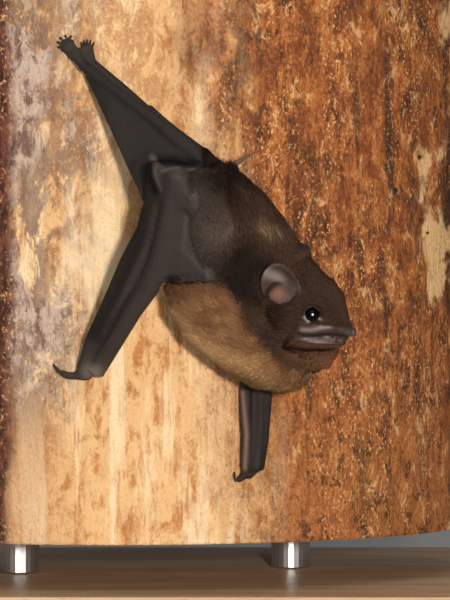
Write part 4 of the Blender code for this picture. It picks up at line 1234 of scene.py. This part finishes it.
def barkMaterial():
    n = Nodes("weatheredWood")
    place = n.place()
    ramp, times, plus, minus, fall = n.ramp, n.times, n.plus, n.minus, n.fall
    x, y, z = n.add("ShaderNodeSeparateXYZ", {}, place).node.outputs

    def streaks(*flowAndNoise):
        return n.streaks(place, *flowAndNoise)

    # lays a colour of the bark, or one made before, over another
    def paint(under, over, mask, share=None):
        over = bark[over] if isinstance(over, str) else over
        return n.mix(mask if share is None else times(mask, share), under, over)

    fibre, longFibre = streaks(0.16, 620, 6, 0.72), streaks(0.09, 210, 5, 0.62, 0.3)
    grain, flakes = streaks(0.75, 2100, 3, 0.7, 0.4), streaks(0.6, 330, 7, 0.75, 0.5)
    mixed = plus(times(fibre, 0.35), times(flakes, 0.65))
    sway = times(minus(streaks(0.4, 70, 5, 0.65, 0.4), 0.5), 0.034)
    sideways = plus(x, sway)
    across = plus(sideways, times(n.math("MINIMUM", minus(z, 0.060), 0.0), 0.21))
    cream = paint(bark["orange"], "cream", ramp(mixed, 0.41, 0.53))
    cream = paint(cream, "pale", ramp(longFibre, 0.46, 0.58), 0.8)
    brown = paint(bark["brown"], "rust", ramp(mixed, 0.43, 0.56))
    brown = paint(brown, "orange", ramp(flakes, 0.53, 0.62), 0.7)
    brown = paint(brown, "dark", ramp(longFibre, 0.47, 0.34), 0.85)
    blotches = ramp(streaks(0.5, 120, 5, 0.7, 0.5), 0.50, 0.62)
    brown = paint(brown, "dark", blotches, times(ramp(z, 0.040, 0.065), 0.65))
    brown = paint(brown, "orange", minus(0.3, times(ramp(z, 0.020, 0.050), 0.3)))
    brown = paint(brown, "dark", ramp(streaks(0.55, 420, 5, 0.75, 0.6), 0.53, 0.60), 0.7)
    brown = paint(brown, "cream", ramp(flakes, 0.57, 0.64), 0.6)
    color = paint(cream, brown, ramp(across, 0.002, 0.017))
    tanned = times(ramp(z, 0.062, 0.085), ramp(flakes, 0.60, 0.46))
    color = paint(color, "tan", tanned, minus(0.8, ramp(across, 0.0, 0.01)))
    color = paint(color, "tan", times(fall(sideways, -0.021, -0.010), fall(z, 0.034, 0.052)), 0.6)
    left = times(fall(sideways, -0.019, -0.007), ramp(z, 0.026, 0.046))
    stains = ramp(streaks(0.5, 210, 6, 0.72, 0.6), 0.42, 0.53)
    color = paint(color, "stain", times(left, stains), 0.85)
    grey = paint(bark["greyDark"], "grey", ramp(mixed, 0.43, 0.54))
    color = paint(color, grey, left, ramp(streaks(0.6, 95, 6, 0.7, 0.5), 0.48, 0.55))
    rim = plus(x, times(sway, 0.2))
    edge = paint(bark["dark"], "edge", ramp(mixed, 0.43, 0.56))
    color = paint(color, edge, fall(rim, -0.0245, -0.0218), ramp(rim, -0.040, -0.030))
    mottle = times(ramp(streaks(0.25, 60, 5, 0.65, 0.5), 0.46, 0.58), 0.75)
    behind = n.math("MAXIMUM", ramp(y, -0.012, 0.008), fall(x, -0.042, -0.030))
    color = paint(color, paint(brown, cream, mottle), behind)
    color = paint(color, "cream", ramp(sideways, 0.0465, 0.049), ramp(n.noise(place, 55, 4, 0.6), 0.50, 0.55))
    # bright flecks in clusters: partly pale wood, partly painted glints on the flakes
    clusters = ramp(streaks(0.3, 150, 4, 0.65), 0.42, 0.62)
    color = paint(color, "fleck", ramp(grain, 0.54, 0.68), plus(times(clusters, 0.8), 0.2))
    color = paint(color, "dark", ramp(grain, 0.45, 0.32), plus(times(ramp(across, 0.0, 0.015), 0.45), 0.15))
    for holeX, holeZ, size in bark["holes"]:
        squares = [n.math("POWER", minus(axis, middle), 2.0) for axis, middle in ((x, holeX), (z, holeZ))]
        far = plus(n.math("SQRT", plus(*squares)), times(minus(flakes, 0.5), 0.0008))
        color = paint(color, "dark", ramp(far, size * 1.3, size * 0.6), ramp(y, 0.0, -0.005))
    # the sawn ends, with rings and rays round the heart
    reach = n.add("ShaderNodeVectorMath", {"operation": "LENGTH"}, n.stretch(place, (1.0, 1.33, 0.0)))
    rings = n.math("SINE", plus(times(reach, 2300), times(streaks(0.0, 26, 4, 0.55), 18)))
    sawn = paint(bark["heart"], "sapwood", ramp(rings, -0.6, 0.9))
    sawn = paint(sawn, "orange", ramp(streaks(0.0, 900, 3, 0.6), 0.45, 0.7), 0.3)
    sawn = paint(sawn, "brown", ramp(reach, 0.0525, 0.0545))
    color = paint(color, sawn, n.math("MAXIMUM", ramp(z, 0.10994, 0.10998), fall(z, 0.01402, 0.01406)))
    relief = n.bump(plus(mixed, times(grain, 0.5)), bark["relief"], bark["reliefStrength"])
    return n.finish(Base_Color=color, Roughness=bark["rough"], Specular_IOR_Level=bark["specular"],
                    Normal=relief)


logPoints, logFaces = buildLog()
treeLog = makePiece("treeLog", logPoints, logFaces, barkMaterial())
treeLog.data.polygons.foreach_set("use_smooth", [len(p) == 4 for p in logFaces])
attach(treeLog, "root")
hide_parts("perch_log")
print("log", len(logFaces), "faces")

# stand and floor
stand = {
    "beech": (0.56, 0.35, 0.19), "beechPale": (0.70, 0.47, 0.28), "beechFleck": (0.40, 0.22, 0.11),
    "beechRough": 0.45, "steel": (0.55, 0.54, 0.52), "steelRough": 0.35,
    "floor": (0.72, 0.71, 0.69), "floorRough": 0.7, "floorHalf": 4,
}


def beechMaterial():
    n = Nodes("paleBeech")
    place = n.place()
    rings = n.noise(n.stretch(place, (0.12, 1.0, 1.0)), 260, 4, 0.6, 0.3)
    flecks = n.noise(n.stretch(place, (0.3, 1.0, 1.0)), 1400, 2, 0.5)
    color = n.mix(n.ramp(rings, 0.35, 0.65), stand["beech"], stand["beechPale"])
    color = n.mix(n.times(n.ramp(flecks, 0.6, 0.72), 0.35), color, stand["beechFleck"])
    return n.finish(Base_Color=color, Roughness=stand["beechRough"], Normal=n.bump(rings, 0.0001, 0.5))


steel = plainMaterial("brushedSteel", stand["steel"], stand["steelRough"], Metallic=1.0)
for name, material in (("stand_base", beechMaterial()), ("stand_rod_1", steel), ("stand_rod_2", steel)):
    nodes[name].data.materials.clear()
    nodes[name].data.materials.append(material)

far = stand["floorHalf"]
floor = makePiece("floor", [(-far, -far, 0), (far, -far, 0), (far, far, 0), (-far, far, 0)], [(0, 1, 2, 3)],
                  plainMaterial("paleFloor", stand["floor"], stand["floorRough"]))
print("stand and floor dressed")
